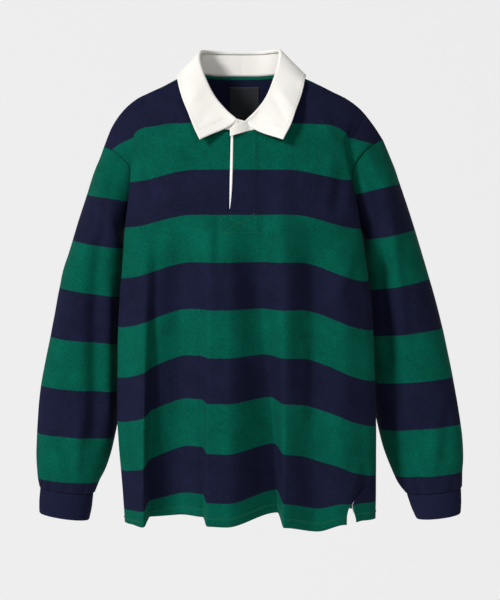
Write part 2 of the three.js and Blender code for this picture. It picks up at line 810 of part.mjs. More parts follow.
addWall('front_body', front, jerseyWall, green, { top: true, sides: true, by: panelTrim });
addWall('back_body', back, jerseyWall, navy, { top: true, sides: true, by: panelTrim });
addWall('sleeve_left', sleeves.left, jerseyWall, green, { top: true, by: sleeveTrim });
addWall('sleeve_right', sleeves.right, jerseyWall, navy, { top: true, by: sleeveTrim });

// Cuffs
for (const [name, cuff] of [['cuff_left', leftCuff], ['cuff_right', rightCuff]]) {
  const { outer, inner } = cuffGrids(cuff);
  const turned = name === 'cuff_right';
  const order = (sheet) => (turned ? sheet.map((line) => [...line].reverse()) : sheet);
  shirt.add(clothMesh(name, clothWall(order(outer), order(inner), true), navy, 0.95));
}

// Collar
for (const [name, grid] of [['collar_stand', standGrid()], ['collar_leaf', leafGrid()]]) {
  const inner = insideOf(grid, gridNormals(grid, false), twillWall);
  shirt.add(clothMesh(name, clothWall(grid, inner, false), white, 0.85));
}

// Strips inside the panels
const strips = [
  ['placket_underlap', underlapGrid(), white],
  ['neck_label', labelGrid(back.grid), charcoal],
  ['vent_tape_left', ventTapeGrid(-1, front.grid, back.grid), white],
  ['vent_tape_right', ventTapeGrid(1, front.grid, back.grid), white],
];
for (const [name, strip, colour] of strips) {
  shirt.add(clothMesh(name, clothWall(strip.outer, strip.inner, false), colour, 0.8));
}

export default shirt;
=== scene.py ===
import math

import bmesh
import bpy
from mathutils import Matrix, Vector, noise


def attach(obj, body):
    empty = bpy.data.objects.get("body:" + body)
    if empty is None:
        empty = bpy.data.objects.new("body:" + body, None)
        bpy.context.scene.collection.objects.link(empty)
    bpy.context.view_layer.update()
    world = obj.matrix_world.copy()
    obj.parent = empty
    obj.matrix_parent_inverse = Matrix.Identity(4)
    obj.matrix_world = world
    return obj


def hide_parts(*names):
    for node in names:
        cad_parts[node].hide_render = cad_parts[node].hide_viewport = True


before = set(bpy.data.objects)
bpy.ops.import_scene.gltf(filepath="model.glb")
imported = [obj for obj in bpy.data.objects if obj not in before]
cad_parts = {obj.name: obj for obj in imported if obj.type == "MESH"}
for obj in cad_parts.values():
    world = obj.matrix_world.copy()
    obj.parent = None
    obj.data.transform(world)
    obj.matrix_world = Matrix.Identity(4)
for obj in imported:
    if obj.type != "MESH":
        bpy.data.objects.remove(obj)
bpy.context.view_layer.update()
scene = bpy.context.scene
mm = 0.001
print("frame loaded")

# camera at the photo's viewing angle
cameraSetup = {"place": (0.014, -2.4, -0.195), "down": 3.9, "lens": 89.1}
cameraData = bpy.data.cameras.new("camera")
cameraData.lens = cameraSetup["lens"]
cameraData.clip_end = 30
camera = bpy.data.objects.new("camera", cameraData)
camera.location = cameraSetup["place"]
camera.rotation_euler = (math.radians(90 - cameraSetup["down"]), 0, 0)
scene.collection.objects.link(camera)
scene.camera = camera
print("camera placed")


# an sRGB hex code as a linear colour
def linear(code):
    parts = [int(code[i:i + 2], 16) / 255 for i in (1, 3, 5)]
    rgb = [c / 12.92 if c <= 0.04045 else ((c + 0.055) / 1.055) ** 2.4 for c in parts]
    return (*rgb, 1)


def ramp(low, high, value):
    t = min(max((value - low) / (high - low), 0), 1)
    return t * t * (3 - 2 * t)


def mix(a, b, t):
    return a + (b - a) * t


def table(names, rows):
    return [dict(zip(names, row)) for row in rows]


# reads every column of a table at a value of its key column, on a smooth curve through the rows
def readTable(rows, key, value):
    i = 0
    while i < len(rows) - 2 and value > rows[i + 1][key]:
        i += 1
    span = rows[i + 1][key] - rows[i][key]
    t = min(max((value - rows[i][key]) / span, 0), 1)
    before = rows[max(i - 1, 0)]
    after = rows[min(i + 2, len(rows) - 1)]
    result = {}
    for name in rows[0]:
        a = rows[i][name]
        b = rows[i + 1][name]
        slopeA = (b - before[name]) / (rows[i + 1][key] - before[key]) * span
        slopeB = (after[name] - a) / (after[key] - rows[i][key]) * span
        result[name] = (a * (2 * t ** 3 - 3 * t ** 2 + 1) + slopeA * (t ** 3 - 2 * t ** 2 + t)
                        + b * (3 * t ** 2 - 2 * t ** 3) + slopeB * (t ** 3 - t ** 2))
    result[key] = value
    return result


# sizes and sections in millimetres, as in the part but for the front's folds, the vent, the collar's edge,
# the body's last two rows and the seam's second row, which were set again from the photo
bodyLength = 704
armholeDepth = 215
underarmTurn = 1.12
seamTurn = 0.06
bodyRoundness = 0.85
foldStart = 190
foldFull = 330
foldFade = 30
sideTurn = 100
frontNeckShare = 0.36
faceShoulder = 0.66
backNeckShare = 0.42
vent = {"top": 650, "spread": 0.042}
face = {"foldsFrom": 0.05, "foldsFull": 0.5, "sagFrom": 0.4}
hoopRise = {"height": 15, "full": 100, "none": 150}
topDrop = {"neck": 12, "neckSlope": 0.87, "shoulder": 58,
           "backSide": -25, "backNeck": 1, "backTurn": 125}
crests = {"front": 2, "neck": 4, "neckAbove": -60, "frontUp": 1, "back": 4, "backUp": 3,
          "shoulder": 6, "shoulderUp": 12}

sectionNames = ["drop", "front", "back", "edge", "left", "right", "leftSag", "rightSag", "rightSeam"]
bodySections = table(sectionNames, [
    [100, -73, 68, -46, -166, 163, 8, 8, 1.12],
    [125, -78, 73, -44, -173, 171, 16, 14, 1.12],
    [150, -81, 76, -41, -176, 176, 19, 16, 1.12],
    [185, -86, 79, -36, -181, 184, 20, 19, 1.12],
    [215, -88, 80, -32, -185, 190, 20, 22, 1.12],
    [293, -92, 82, -30, -192, 203, 27, 32, 1.12],
    [365, -92, 82, -30, -197, 211, 31, 36, 1.10],
    [437, -90, 82, -30, -199, 215, 38, 43, 1.06],
    [512, -88, 82, -30, -199, 217, 39, 46, 1.0],
    [588, -85, 80, -30, -194, 217, 40, 49, 0.88],
    [667, -82, 78, -28, -190, 217, 26, 12, 0.595],
    [704, -80, 76, -28, -189, 217, 11, 5, 0.59],
])
foldNames = ["topX", "hemX", "topForward", "hemForward", "dip"]
frontFolds = table(foldNames, [
    [-178, -178, 0, 6, 0],
    [-150, -154, 9, 22, 1],
    [-128, -147, -3, -16, -8],
    [-95, -101, -14, -28, -5],
    [-68, -61, -2, -14, -3],
    [-45, -54, 11, 20, 5],
    [-20, -24, 8, 20, 6],
    [20, 58, -11, -27, -8],
    [70, 67, 15, 24, 6],
    [114, 120, -12, 2, 17],
    [160, 166, 3, 6, 5],
])
backFolds = table(foldNames, [
    [-165, -160, 0, 4, 2],
    [-112, -120, 8, 20, 6],
    [-60, -72, -10, -20, 0],
    [-8, -14, 10, 20, 8],
    [48, 40, -9, -21, 0],
    [98, 92, 9, 19, 7],
    [150, 150, -3, -8, 0],
])
shoulderSeam = table(["share", "leftX", "rightX", "y", "leftZ", "rightZ", "backDrop"], [
    [0 / 7, -84, 84, -12, 0, 0, -25],
    [1 / 7, -101, 102, -13, -4, -4, -18],
    [2 / 7, -124, 124, -14, -16, -14, -8],
    [3 / 7, -146, 146, -14, -26, -25, 3],
    [4 / 7, -168, 170, -13, -37, -37, 14],
    [5 / 7, -189, 192, -11, -55, -54, 26],
    [6 / 7, -207, 212, -7, -80, -78, 40],
    [7 / 7, -221, 228, 0, -112, -101, 55],
])
armholeNames = ["drop", "leftX", "rightX", "y", "leftZ", "rightZ"]
armholeFront = table(armholeNames, [
    [100, -197, 200, -31, -122, -115],
    [125, -178, 179, -35, -142, -142],
    [150, -170, 174, -26, -176, -176],
    [185, -176, 180, -12, -210, -209],
])
armholeBack = table(armholeNames, [
    [100, -210, 216, 30, -130, -120],
    [125, -198, 202, 46, -156, -150],
    [150, -188, 192, 44, -184, -180],
    [185, -184, 188, 28, -213, -212],
])
neckEdge = table(["turn", "x", "y", "z"], [
    [0, 0, -72, -92],
    [20, 30, -68, -86],
    [40, 54, -58, -71],
    [60, 71, -44, -46],
    [80, 81, -28, -22],
    [100, 84, -12, 0],
    [120, 78, 10, 6],
    [140, 62, 32, 6],
    [160, 34, 46, 4],
    [180, 0, 50, 4],
])


# how far the cloth stands out and dips at a place across, from the fold lines on both sides of it
def foldAt(folds, x, drop):
    down = ramp(foldStart, bodyLength, drop)
    grown = ramp(foldStart, foldFull, drop)
    lines = [(mix(f["topX"], f["hemX"], down), mix(f["topForward"], f["hemForward"], down) * grown,
              f["dip"] * down * down) for f in folds]
    if x <= lines[0][0] or x >= lines[-1][0]:
        end = lines[0] if x <= lines[0][0] else lines[-1]
        fade = 1 - ramp(0, foldFade, abs(x - end[0]))
        return end[1] * fade, end[2] * fade
    i = 0
    while x > lines[i + 1][0]:
        i += 1
    t = ramp(lines[i][0], lines[i + 1][0], x)
    return mix(lines[i][1], lines[i + 1][1], t), mix(lines[i][2], lines[i + 1][2], t)


# a point on the ring of the body: turn is 0 at centre front, 1 at the edge and 2 at centre back
def bodyPoint(section, turn):
    angle = turn * math.pi / 2
    middle = (section["left"] + section["right"]) / 2
    halfWidth = (section["right"] - section["left"]) / 2
    x = middle + halfWidth * math.sin(angle)
    lie = math.cos(angle)
    reach = abs(lie) ** bodyRoundness
    deep = section["front"] if lie > 0 else section["back"]
    forward, dip = foldAt(frontFolds if lie > 0 else backFolds, x, section["drop"])
    faceOn = ramp(face["foldsFrom"], face["foldsFull"], abs(lie))
    out = -1 if lie > 0 else 1
    y = section["edge"] + (deep - section["edge"]) * reach + out * forward * faceOn
    sag = section["leftSag"] if turn < 0 else section["rightSag"]
    z = -section["drop"] - sag * ramp(face["sagFrom"], 1, abs(math.sin(angle))) - dip * faceOn
    return Vector((x, y, z))


def armholePoint(rows, side, drop):
    word = "left" if side < 0 else "right"
    underarm = bodyPoint(readTable(bodySections, "drop", armholeDepth), side * underarmTurn)
    end = dict(rows[-1])
    end.update({"drop": armholeDepth, "y": underarm.y, word + "X": underarm.x, word + "Z": underarm.z})
    place = readTable([*rows, end], "drop", min(max(drop, rows[0]["drop"]), armholeDepth))
    return Vector((place[word + "X"], place["y"], place[word + "Z"]))


def shoulderPoint(side, share):
    place = readTable(shoulderSeam, "share", share)
    word = "left" if side < 0 else "right"
    return Vector((place[word + "X"], place["y"], place[word + "Z"]))


def neckPoint(turn):
    place = readTable(neckEdge, "turn", abs(turn))
    return Vector((math.copysign(1, turn) * place["x"], place["y"], place["z"]))


def ventSpread(drop):
    return vent["spread"] * ramp(vent["top"], bodyLength, drop)


def seamOf(section, side):
    return underarmTurn if side < 0 else section["rightSeam"]


# towards the armholes the hoops rise on the cloth, so its drop counts as less there
def hoopDrop(drop, rise):
    return drop - hoopRise["height"] * rise * (1 - ramp(hoopRise["full"], hoopRise["none"], drop))


# one row of the front at a drop, with the drop that the cloth has there before it sags
def frontRow(drop, columns):
    section = readTable(bodySections, "drop", drop)
    points = []
    for column in columns:
        side = -1 if column < 0 else 1
        seam = seamOf(section, side) - ventSpread(drop)
        faceEnd = min(1, seam - seamTurn)
        share = abs(column)
        turn = share * faceEnd if share <= 1 else faceEnd + (share - 1) * (seam - faceEnd)
        point = bodyPoint(section, side * turn)
        if drop < armholeDepth and share > 1:
            pull = ramp(0, 1, share - 1)
            point += (armholePoint(armholeFront, side, drop) - bodyPoint(section, side * seam)) * pull
        points.append((point, hoopDrop(drop, ramp(0.65, 1.1, share))))
    return points


def backRow(drop, columns):
    section = readTable(bodySections, "drop", drop)
    points = []
    for column in columns:
        side = 1 if column < 0 else -1
        seam = seamOf(section, side) + ventSpread(drop)
        share = abs(column)
        point = bodyPoint(section, side * (2 - share * (2 - seam)))
        if drop < armholeDepth:
            pull = ramp(0.5, 1, share)
            point += (armholePoint(armholeBack, side, drop) - bodyPoint(section, side * seam)) * pull
        points.append((point, hoopDrop(drop, ramp(0.6, 1, share))))
    return points


def frontTop(column):
    side = -1 if column < 0 else 1
    share = abs(column)
    if share < frontNeckShare:
        point = neckPoint(column / frontNeckShare * sideTurn)
        return point, topDrop["neck"] - topDrop["neckSlope"] * point.z
    if share <= 1:
        along = faceShoulder * (share - frontNeckShare) / (1 - frontNeckShare)
    else:
        along = faceShoulder + (1 - faceShoulder) * (share - 1)
    return shoulderPoint(side, along), topDrop["neck"] + topDrop["shoulder"] * along


def backTop(column):
    side = 1 if column < 0 else -1
    share = abs(column)
    if share < backNeckShare:
        turn = 180 - share / backNeckShare * (180 - sideTurn)
        down = ramp(sideTurn, topDrop["backTurn"], turn)
        return neckPoint(side * turn), mix(topDrop["backSide"], topDrop["backNeck"], down)
    along = (share - backNeckShare) / (1 - backNeckShare)
    return shoulderPoint(side, along), readTable(shoulderSeam, "share", along)["backDrop"]


# how far the cloth between a top seam and the first section stands past the straight line there
def frontCrest(column, start):
    neck = crests["neck"] * ramp(0.2, 0.5, abs(column)) if start.z > crests["neckAbove"] else 0
    return Vector((0, -crests["front"] - neck, crests["frontUp"]))


def backCrest(column, start):
    share = abs(column)
    shoulder = ramp(backNeckShare + 0.04, backNeckShare + 0.16, share) * (1 - ramp(0.9, 1, share))
    return Vector((0, crests["back"] + crests["shoulder"] * shoulder,
                   crests["backUp"] + crests["shoulderUp"] * shoulder))


# a panel's rows are 0 to topRows above the first section and then one for each key drop
topRows = 3
armholeRows = 5
lowerRows = 11
keyDrops = [row["drop"] for row in bodySections[:armholeRows]]
keyDrops += [armholeDepth + (bodyLength - armholeDepth) * i / lowerRows for i in range(1, lowerRows + 1)]
finer = {"top": 6, "armhole": 7, "lower": 9, "across": 6, "sleeve": 9}
columnsOf = {"face": 8, "side": 3, "frontNeck": 14, "backNeck": 8}


def rowPlaces():
    places = [i / finer["top"] for i in range(topRows * finer["top"])]
    places += [topRows + i / finer["armhole"] for i in range((armholeRows - 1) * finer["armhole"])]
    first = topRows + armholeRows - 1
    return places + [first + i / finer["lower"] for i in range(lowerRows * finer["lower"] + 1)]


def dropAt(place):
    i = min(int(place - topRows), len(keyDrops) - 2)
    return mix(keyDrops[i], keyDrops[i + 1], place - topRows - i)


# the points of a panel and the drops that its cloth has there, row by row
def panelGrid(columns, top, row, crest):
    first = row(keyDrops[0], columns)
    grid = []
    for place in rowPlaces():
        if place >= topRows:
            grid.append(row(dropAt(place), columns))
            continue
        t = place / topRows
        line = []
        for i, column in enumerate(columns):
            start, startDrop = top(column)
            end, endDrop = first[i]
            middle = start.lerp(end, 0.5) + crest(column, start)
            line.append((start.lerp(middle, t).lerp(middle.lerp(end, t), t), mix(startDrop, endDrop, t)))
        grid.append(line)
    points = [[point for point, drop in line] for line in grid]
    drops = [[drop for point, drop in line] for line in grid]
    return points, drops


def evenly(low, high, count):
    return [mix(low, high, i / count) for i in range(count)]


def frontColumns():
    n = finer["across"]
    side = evenly(frontNeckShare, 1, columnsOf["face"] * n) + evenly(1, 2, columnsOf["side"] * n) + [2]
    middle = evenly(-frontNeckShare, frontNeckShare, columnsOf["frontNeck"] * n)[1:]
    return [-c for c in reversed(side)] + middle + side


def backColumns():
    n = finer["across"]
    reach = 1 - backNeckShare
    shares = evenly(0, faceShoulder, columnsOf["face"] * n)
    shares += evenly(faceShoulder, 1, columnsOf["side"] * n) + [1]
    side = [backNeckShare + reach * share for share in shares]
    middle = evenly(-backNeckShare, backNeckShare, columnsOf["backNeck"] * n)[1:]
    return [-c for c in reversed(side)] + middle + side


def isClosed(points):
    return (points[0][0] - points[0][-1]).length < 0.01


def gridNormals(points):
    rows, columns = len(points), len(points[0])
    closed = isClosed(points)
    normals = []
    for j in range(rows):
        line = []
        for i in range(columns):
            right = points[j][1 if closed and i == columns - 1 else min(i + 1, columns - 1)]
            left = points[j][columns - 2 if closed and i == 0 else max(i - 1, 0)]
            down = points[min(j + 1, rows - 1)][i] - points[max(j - 1, 0)][i]
            line.append(down.cross(right - left).normalized())
        normals.append(line)
    return normals


# soft ridges and troughs along short lines of the front and of the back: lift is above the cloth, in mm
def creaseTable(front, back=()):
    names = ["face", "x1", "z1", "x2", "z2", "width", "lift"]
    return table(names, [["front", *row] for row in front] + [["back", *row] for row in back])


creaseEnd = {"outside": 20, "inside": 25, "widths": 2.5}


def creaseLift(point, creases, split):
    total = 0
    for c in creases:
        if (c["face"] == "front") != (point.y < split):
            continue
        dx, dz = c["x2"] - c["x1"], c["z2"] - c["z1"]
        length = math.hypot(dx, dz)
        px, pz = point.x - c["x1"], point.z - c["z1"]
        along = (px * dx + pz * dz) / length
        aside = abs(px * dz - pz * dx) / length / c["width"]
        if aside > creaseEnd["widths"]:
            continue
        starting = ramp(-creaseEnd["outside"], creaseEnd["inside"], along)
        ends = starting * (1 - ramp(length - creaseEnd["inside"], length + creaseEnd["outside"], along))
        total += c["lift"] * math.exp(-aside * aside) * ends
    return total


def clothNoise(point, across, down, seed):
    return noise.noise(Vector((point.x / across, point.y / across, point.z / down + seed)))


# creases fade out at the edges of a panel so that the seams stay closed
def crumple(points, creases, split, seed, rise=0.7, fadeRows=5, fadeColumns=5):
    rows, columns = len(points), len(points[0])
    closed = isClosed(points)
    normals = gridNormals(points)
    for j in range(rows):
        for i in range(columns):
            point = points[j][i]
            inner = ramp(0, fadeRows, j)
            if not closed:
                inner *= ramp(0, fadeColumns, min(i, columns - 1 - i))
            wide = clothNoise(point, 70, 110, seed)
            fine = clothNoise(point, 24, 34, seed)
            lift = creaseLift(point, creases, split) + rise * (1.6 * wide + 0.45 * fine)
            point += normals[j][i] * lift * inner


# adds a node; an input is a socket to link or a value, and a setting is the node's own
def addNode(tree, kind, inputs=None, **settings):
    node = tree.nodes.new(kind)
    for name, value in settings.items():
        setattr(node, name, value)
    for name, value in (inputs or {}).items():
        if isinstance(value, bpy.types.NodeSocket):
            tree.links.new(value, node.inputs[name])
        else:
            node.inputs[name].default_value = value
    return node


# how often a band pattern repeats for a spacing in mm, and a noise for a grain size in mm
def bandScale(spacing):
    return math.pi / 10 / (spacing * mm)


def grainScale(size):
    return 1 / (size * mm)


def newMaterial(name):
    material = bpy.data.materials.new(name)
    material.use_nodes = True
    material.node_tree.nodes.clear()
    return material, material.node_tree


def maths(tree, operation, a, b=0.0, c=0.0):
    node = addNode(tree, "ShaderNodeMath", operation=operation)
    for socket, value in zip(node.inputs, (a, b, c)):
        if isinstance(value, bpy.types.NodeSocket):
            tree.links.new(value, socket)
        else:
            socket.default_value = value
    return node.outputs[0]


green = "#005645"
navy = "#181b33"


# cloth: a colour, the weave's height with its depth in mm, a sheen, and patches a little darker or lighter
def clothShader(tree, colour, height, roughness, sheen, sheenTint, depth, mottle):
    place = addNode(tree, "ShaderNodeTexCoord").outputs["Object"]
    patches = addNode(tree, "ShaderNodeTexNoise", {
        "Vector": place, "Scale": grainScale(38), "Detail": 3.0, "Roughness": 0.6})
    speckle = addNode(tree, "ShaderNodeTexNoise", {
        "Vector": place, "Scale": grainScale(3.1), "Detail": 2.0, "Roughness": 0.7})
    uneven = maths(tree, "ADD", maths(tree, "MULTIPLY", patches.outputs["Fac"], 0.4),
                   maths(tree, "MULTIPLY", speckle.outputs["Fac"], 0.6))
    bright = maths(tree, "MULTIPLY_ADD", uneven, 2 * mottle, 1 - mottle)
    toned = addNode(tree, "ShaderNodeMix", {"Factor": 1.0}, data_type="RGBA", blend_type="MULTIPLY")
    tree.links.new(colour, toned.inputs[6])
    tree.links.new(bright, toned.inputs[7])
    bump = addNode(tree, "ShaderNodeBump", {
        "Height": height, "Strength": 0.7, "Distance": depth * mm})
    surface = addNode(tree, "ShaderNodeBsdfPrincipled", {
        "Base Color": toned.outputs[2], "Roughness": roughness, "IOR": 1.5, "Normal": bump.outputs[0],
        "Sheen Weight": sheen, "Sheen Roughness": 0.45, "Sheen Tint": sheenTint,
        "Specular IOR Level": 0.07})
    addNode(tree, "ShaderNodeOutputMaterial", {"Surface": surface.outputs[0]})


def knitHeight(tree, coords, spacing):
    wales = addNode(tree, "ShaderNodeTexWave", {
        "Vector": coords, "Scale": bandScale(spacing),
        "Distortion": 1.5, "Detail": 2.0, "Detail Scale": 1.2})
    fuzz = addNode(tree, "ShaderNodeTexNoise", {
        "Vector": coords, "Scale": grainScale(1.1), "Detail": 3.0, "Roughness": 0.75})
    return maths(tree, "ADD", maths(tree, "MULTIPLY", wales.outputs["Fac"], 0.45), fuzz.outputs["Fac"])


# the colour ramp of the hoops starts at this drop in mm and spans this many mm
rampStart = -100
rampSpan = 900


# brushed cotton jersey knitted in hoops; stops are the drops in mm where the colour changes
def jerseyMaterial(name, first, stops):
    material, tree = newMaterial(name)
    coords = addNode(tree, "ShaderNodeUVMap", uv_map="cloth").outputs[0]
    drop = addNode(tree, "ShaderNodeSeparateXYZ", {"Vector": coords}).outputs["Y"]
    loops = addNode(tree, "ShaderNodeTexNoise", {
        "Vector": coords, "Scale": grainScale(1.6), "Detail": 1.0})
    ragged = maths(tree, "MULTIPLY_ADD", loops.outputs["Fac"], 1.2 * mm, -0.6 * mm)
    level = maths(tree, "ADD", drop, ragged)
    share = maths(tree, "MULTIPLY_ADD", level, 1 / (rampSpan * mm), -rampStart / rampSpan)
    hoops = addNode(tree, "ShaderNodeValToRGB", {"Fac": share})
    hoops.color_ramp.interpolation = "CONSTANT"
    other = navy if first == green else green
    elements = hoops.color_ramp.elements
    elements[0].color = linear(first)
    elements.remove(elements[1])
    for i, stop in enumerate(stops):
        element = elements.new((stop - rampStart) / rampSpan)
        element.color = linear(other if i % 2 == 0 else first)
    height = knitHeight(tree, coords, 1.35)
    clothShader(tree, hoops.outputs["Color"], height, roughness=0.9, sheen=0.012,
                sheenTint=linear("#9fb0b8"), depth=0.4, mottle=0.85)
    return material


frontJersey = jerseyMaterial("cotton_jersey_front", navy,
                             [78, 147.5, 219.6, 293.4, 365, 438, 511.2, 588, 665])
backJersey = jerseyMaterial("cotton_jersey_back", green,
                            [5, 78, 149, 220, 293, 365, 437, 512, 588, 667])
leftJersey = jerseyMaterial("cotton_jersey_left_sleeve", green,
                            [186, 261, 338, 418, 499, 578, 651])
rightJersey = jerseyMaterial("cotton_jersey_right_sleeve", green,
                             [168, 242, 322.5, 406, 484, 563, 640])


# twill: fine slanting ribs over a brushed face
def twillHeight(tree, coords, spacing):
    slanted = addNode(tree, "ShaderNodeMapping", {
        "Vector": coords, "Rotation": (0, 0, math.radians(52))})
    ribs = addNode(tree, "ShaderNodeTexWave", {
        "Vector": slanted.outputs[0], "Scale": bandScale(spacing), "Distortion": 0.8, "Detail": 2.0})
    fuzz = addNode(tree, "ShaderNodeTexNoise", {
        "Vector": coords, "Scale": grainScale(1.3), "Detail": 3.0, "Roughness": 0.7})
    return maths(tree, "ADD", maths(tree, "MULTIPLY", ribs.outputs["Fac"], 0.6), fuzz.outputs["Fac"])


def plainCloth(name, code, weave, spacing, roughness, sheen, tint, depth, mottle):
    material, tree = newMaterial(name)
    coords = addNode(tree, "ShaderNodeUVMap", uv_map="cloth").outputs[0]
    colour = addNode(tree, "ShaderNodeRGB")
    colour.outputs[0].default_value = linear(code)
    height = weave(tree, coords, spacing)
    clothShader(tree, colour.outputs[0], height, roughness, sheen, linear(tint), depth, mottle)
    return material


whiteTwill = plainCloth("brushed_cotton_twill", "#fbf8f2", twillHeight, spacing=0.9, roughness=0.82,
                        sheen=0.2, tint="#ffffff", depth=0.2, mottle=0.02)
navyRib = plainCloth("cotton_rib", "#191c35", knitHeight, spacing=1.1, roughness=0.9,
                     sheen=0.06, tint="#8f9ab5", depth=0.3, mottle=0.12)
labelSatin = plainCloth("woven_label_satin", "#2e3033", knitHeight, spacing=0.5, roughness=0.5,
                        sheen=0.1, tint="#aaaaaa", depth=0.12, mottle=0.05)
whiteTape = plainCloth("cotton_tape", "#f1f0ec", knitHeight, spacing=0.8, roughness=0.85,
                       sheen=0.1, tint="#ffffff", depth=0.3, mottle=0.03)
print("materials made")


weldDistance = 0.00001


# a bmesh becomes an object with smooth faces
def meshPiece(name, mesh, material):
    for face in mesh.faces:
        face.smooth = True
    data = bpy.data.meshes.new(name)
    mesh.to_mesh(data)
    mesh.free()
    data.materials.append(material)
    piece = bpy.data.objects.new(name, data)
    scene.collection.objects.link(piece)
    return piece


# points are rows from the top down, each from left to right as seen from outside, in mm
def clothSheet(name, points, coords, material, thickness, keep=None):
    rows, columns = len(points), len(points[0])
    mesh = bmesh.new()
    bmesh.ops.create_grid(mesh, x_segments=columns - 1, y_segments=rows - 1, size=1)
    layer = mesh.loops.layers.uv.new("cloth")
    places = {}
    for vert in mesh.verts:
        i = round((vert.co.x + 1) / 2 * (columns - 1))
        j = rows - 1 - round((vert.co.y + 1) / 2 * (rows - 1))
        places[vert] = (j, i)
    dropped = []
    for face in mesh.faces:
        for loop in face.loops:
            j, i = places[loop.vert]
            loop[layer].uv = [value * mm for value in coords[j][i]]
        corners = [places[vert] for vert in face.verts]
        if keep and not keep(min(j for j, i in corners), min(i for j, i in corners)):
            dropped.append(face)
    for vert, (j, i) in places.items():
        vert.co = points[j][i] * mm
    bmesh.ops.delete(mesh, geom=dropped, context="FACES")
    bmesh.ops.remove_doubles(mesh, verts=mesh.verts, dist=weldDistance)
    piece = meshPiece(name, mesh, material)
    wall = piece.modifiers.new("cloth_thickness", "SOLIDIFY")
    wall.thickness = thickness * mm
    wall.offset = -1
    wall.use_even_offset = False
    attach(piece, "root")
    return piece


# how far along a line each of its points is
def lengthsAlong(line):
    places = [0]
    for a, b in zip(line, line[1:]):
        places.append(places[-1] + (b - a).length)
    return places


# the place of each column across, measured along one row from its middle
def acrossRow(line):
    places = lengthsAlong(line)
    return [place - places[-1] / 2 for place in places]


def columnOf(points, i):
    return [line[i] for line in points]


def evenCoords(across, down):
    return [[(x, y) for x in across] for y in down]


# the front with its slit
front = {
    "slit": -18, "slitEnd": 213, "columnGap": 0.006, "slitRows": 3.9, "openColumns": 5, "wall": 1.4,
    "placketRight": 18.5, "placketEnd": 248, "placketRise": 0.9, "boxLeft": -36, "boxRight": 33,
    "creases": creaseTable([
        [-18, -216, -18, -227, 3, -2.2],
        [19, -216, 19, -227, 3, -2.0],
        [-16, -229, 14, -230, 4, -1.5],
        [-30, -246, 12, -230, 3, -1.2],
        [29, -246, -6, -234, 3, -1.0],
        [-35, -222, -37, -300, 8, -3.0],
        [33, -224, 38, -306, 8, -3.0],
        [-62, -214, -60, -320, 12, 2.2],
        [60, -190, 62, -300, 12, 2.4],
        [-168, -140, -150, -190, 9, 3.0],
        [-152, -142, -136, -200, 8, -2.4],
        [160, -150, 150, -215, 10, -3.2],
        [140, -130, 132, -220, 9, 2.2],
        [-165, -230, -130, -262, 10, -2.6],
        [172, -240, 132, -276, 10, -2.6],
        [-172, -262, -140, -330, 9, 2.0],
        [180, -276, 150, -350, 10, 2.2],
        [-104, -118, -108, -200, 12, 1.8],
        [84, -150, 92, -230, 12, -1.8],
        [-128, -60, -150, -110, 9, -2.2],
        [122, -58, 150, -108, 9, 2.2],
        [188, -610, 176, -668, 7, 2.6],
        [198, -640, 182, -682, 6, -2.4],
        [150, -520, 158, -620, 10, 2.0],
        [-70, -400, -78, -520, 9, 1.6],
        [100, -420, 96, -540, 9, 1.8],
    ]),
}


# the share across the face where a section reaches an x
def columnAt(section, x):
    middle = (section["left"] + section["right"]) / 2
    halfWidth = (section["right"] - section["left"]) / 2
    return math.asin((x - middle) / halfWidth) * 2 / math.pi


slitColumn = columnAt(readTable(bodySections, "drop", front["slitEnd"]), front["slit"])
frontPlaces = frontColumns()
# slitAt is the column of the slit's left edge, and the next one is its right edge
slitAt = min(range(len(frontPlaces)), key=lambda i: abs(frontPlaces[i] - slitColumn))
frontPlaces[slitAt:slitAt + 1] = [slitColumn - front["columnGap"], slitColumn + front["columnGap"]]
frontPoints, frontDrops = panelGrid(frontPlaces, frontTop, frontRow, frontCrest)
rows = rowPlaces()
slitRow = max(j for j in range(len(rows)) if rows[j] <= topRows + front["slitRows"])


# where the two edges of the slit lie, which draw together towards its foot
slitEdges = table(["drop", "left", "right"], [
    [90, -16.2, -11.8],
    [165, -17.8, -13.2],
    [195, -18.1, -15.2],
    [214, -18.4, -17.8],
])


# moves the slit's edges to their places and spaces the columns beside them evenly again
def openSlit(points):
    steps = front["openColumns"]
    for j in range(slitRow + 1):
        edges = readTable(slitEdges, "drop", frontDrops[j][slitAt])
        line = points[j]
        for i, way, x in ((slitAt, 1, edges["left"]), (slitAt + 1, -1, edges["right"])):
            held = line[i - way * steps].copy()
            end = held.lerp(line[i], (x - held.x) / (line[i].x - held.x))
            for step in range(steps):
                line[i - way * step] = end.lerp(held, step / steps)


openSlit(frontPoints)
crumple(frontPoints, front["creases"], -20, 3.1)


# the lapped side of the slit stands proud, and so does the box below it
def raisePlacket(points):
    normals = gridNormals(points)
    for j in range(len(points)):
        drop = frontDrops[j][slitAt]
        down = 1 - ramp(front["placketEnd"] - 1, front["placketEnd"] + 1, drop)
        for i in range(slitAt - 8, slitAt + 24):
            x = points[j][i].x
            right = 1 - ramp(front["placketRight"] + 6, front["placketRight"] + 8, x)
            left = 1 if i > slitAt else 0
            if drop > front["slitEnd"]:
                left = ramp(front["boxLeft"], front["boxLeft"] + 2, x)
                right = 1 - ramp(front["boxRight"] - 2, front["boxRight"], x)
            points[j][i] += normals[j][i] * front["placketRise"] * down * left * right


raisePlacket(frontPoints)
acrossFront = acrossRow(frontPoints[rows.index(topRows + 6)])
frontCoords = [list(zip(acrossFront, drops)) for drops in frontDrops]
frontPiece = clothSheet("front_panel", frontPoints, frontCoords, frontJersey, front["wall"],
                        keep=lambda j, i: not (i == slitAt and j < slitRow))
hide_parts("front_body")
print("front made")

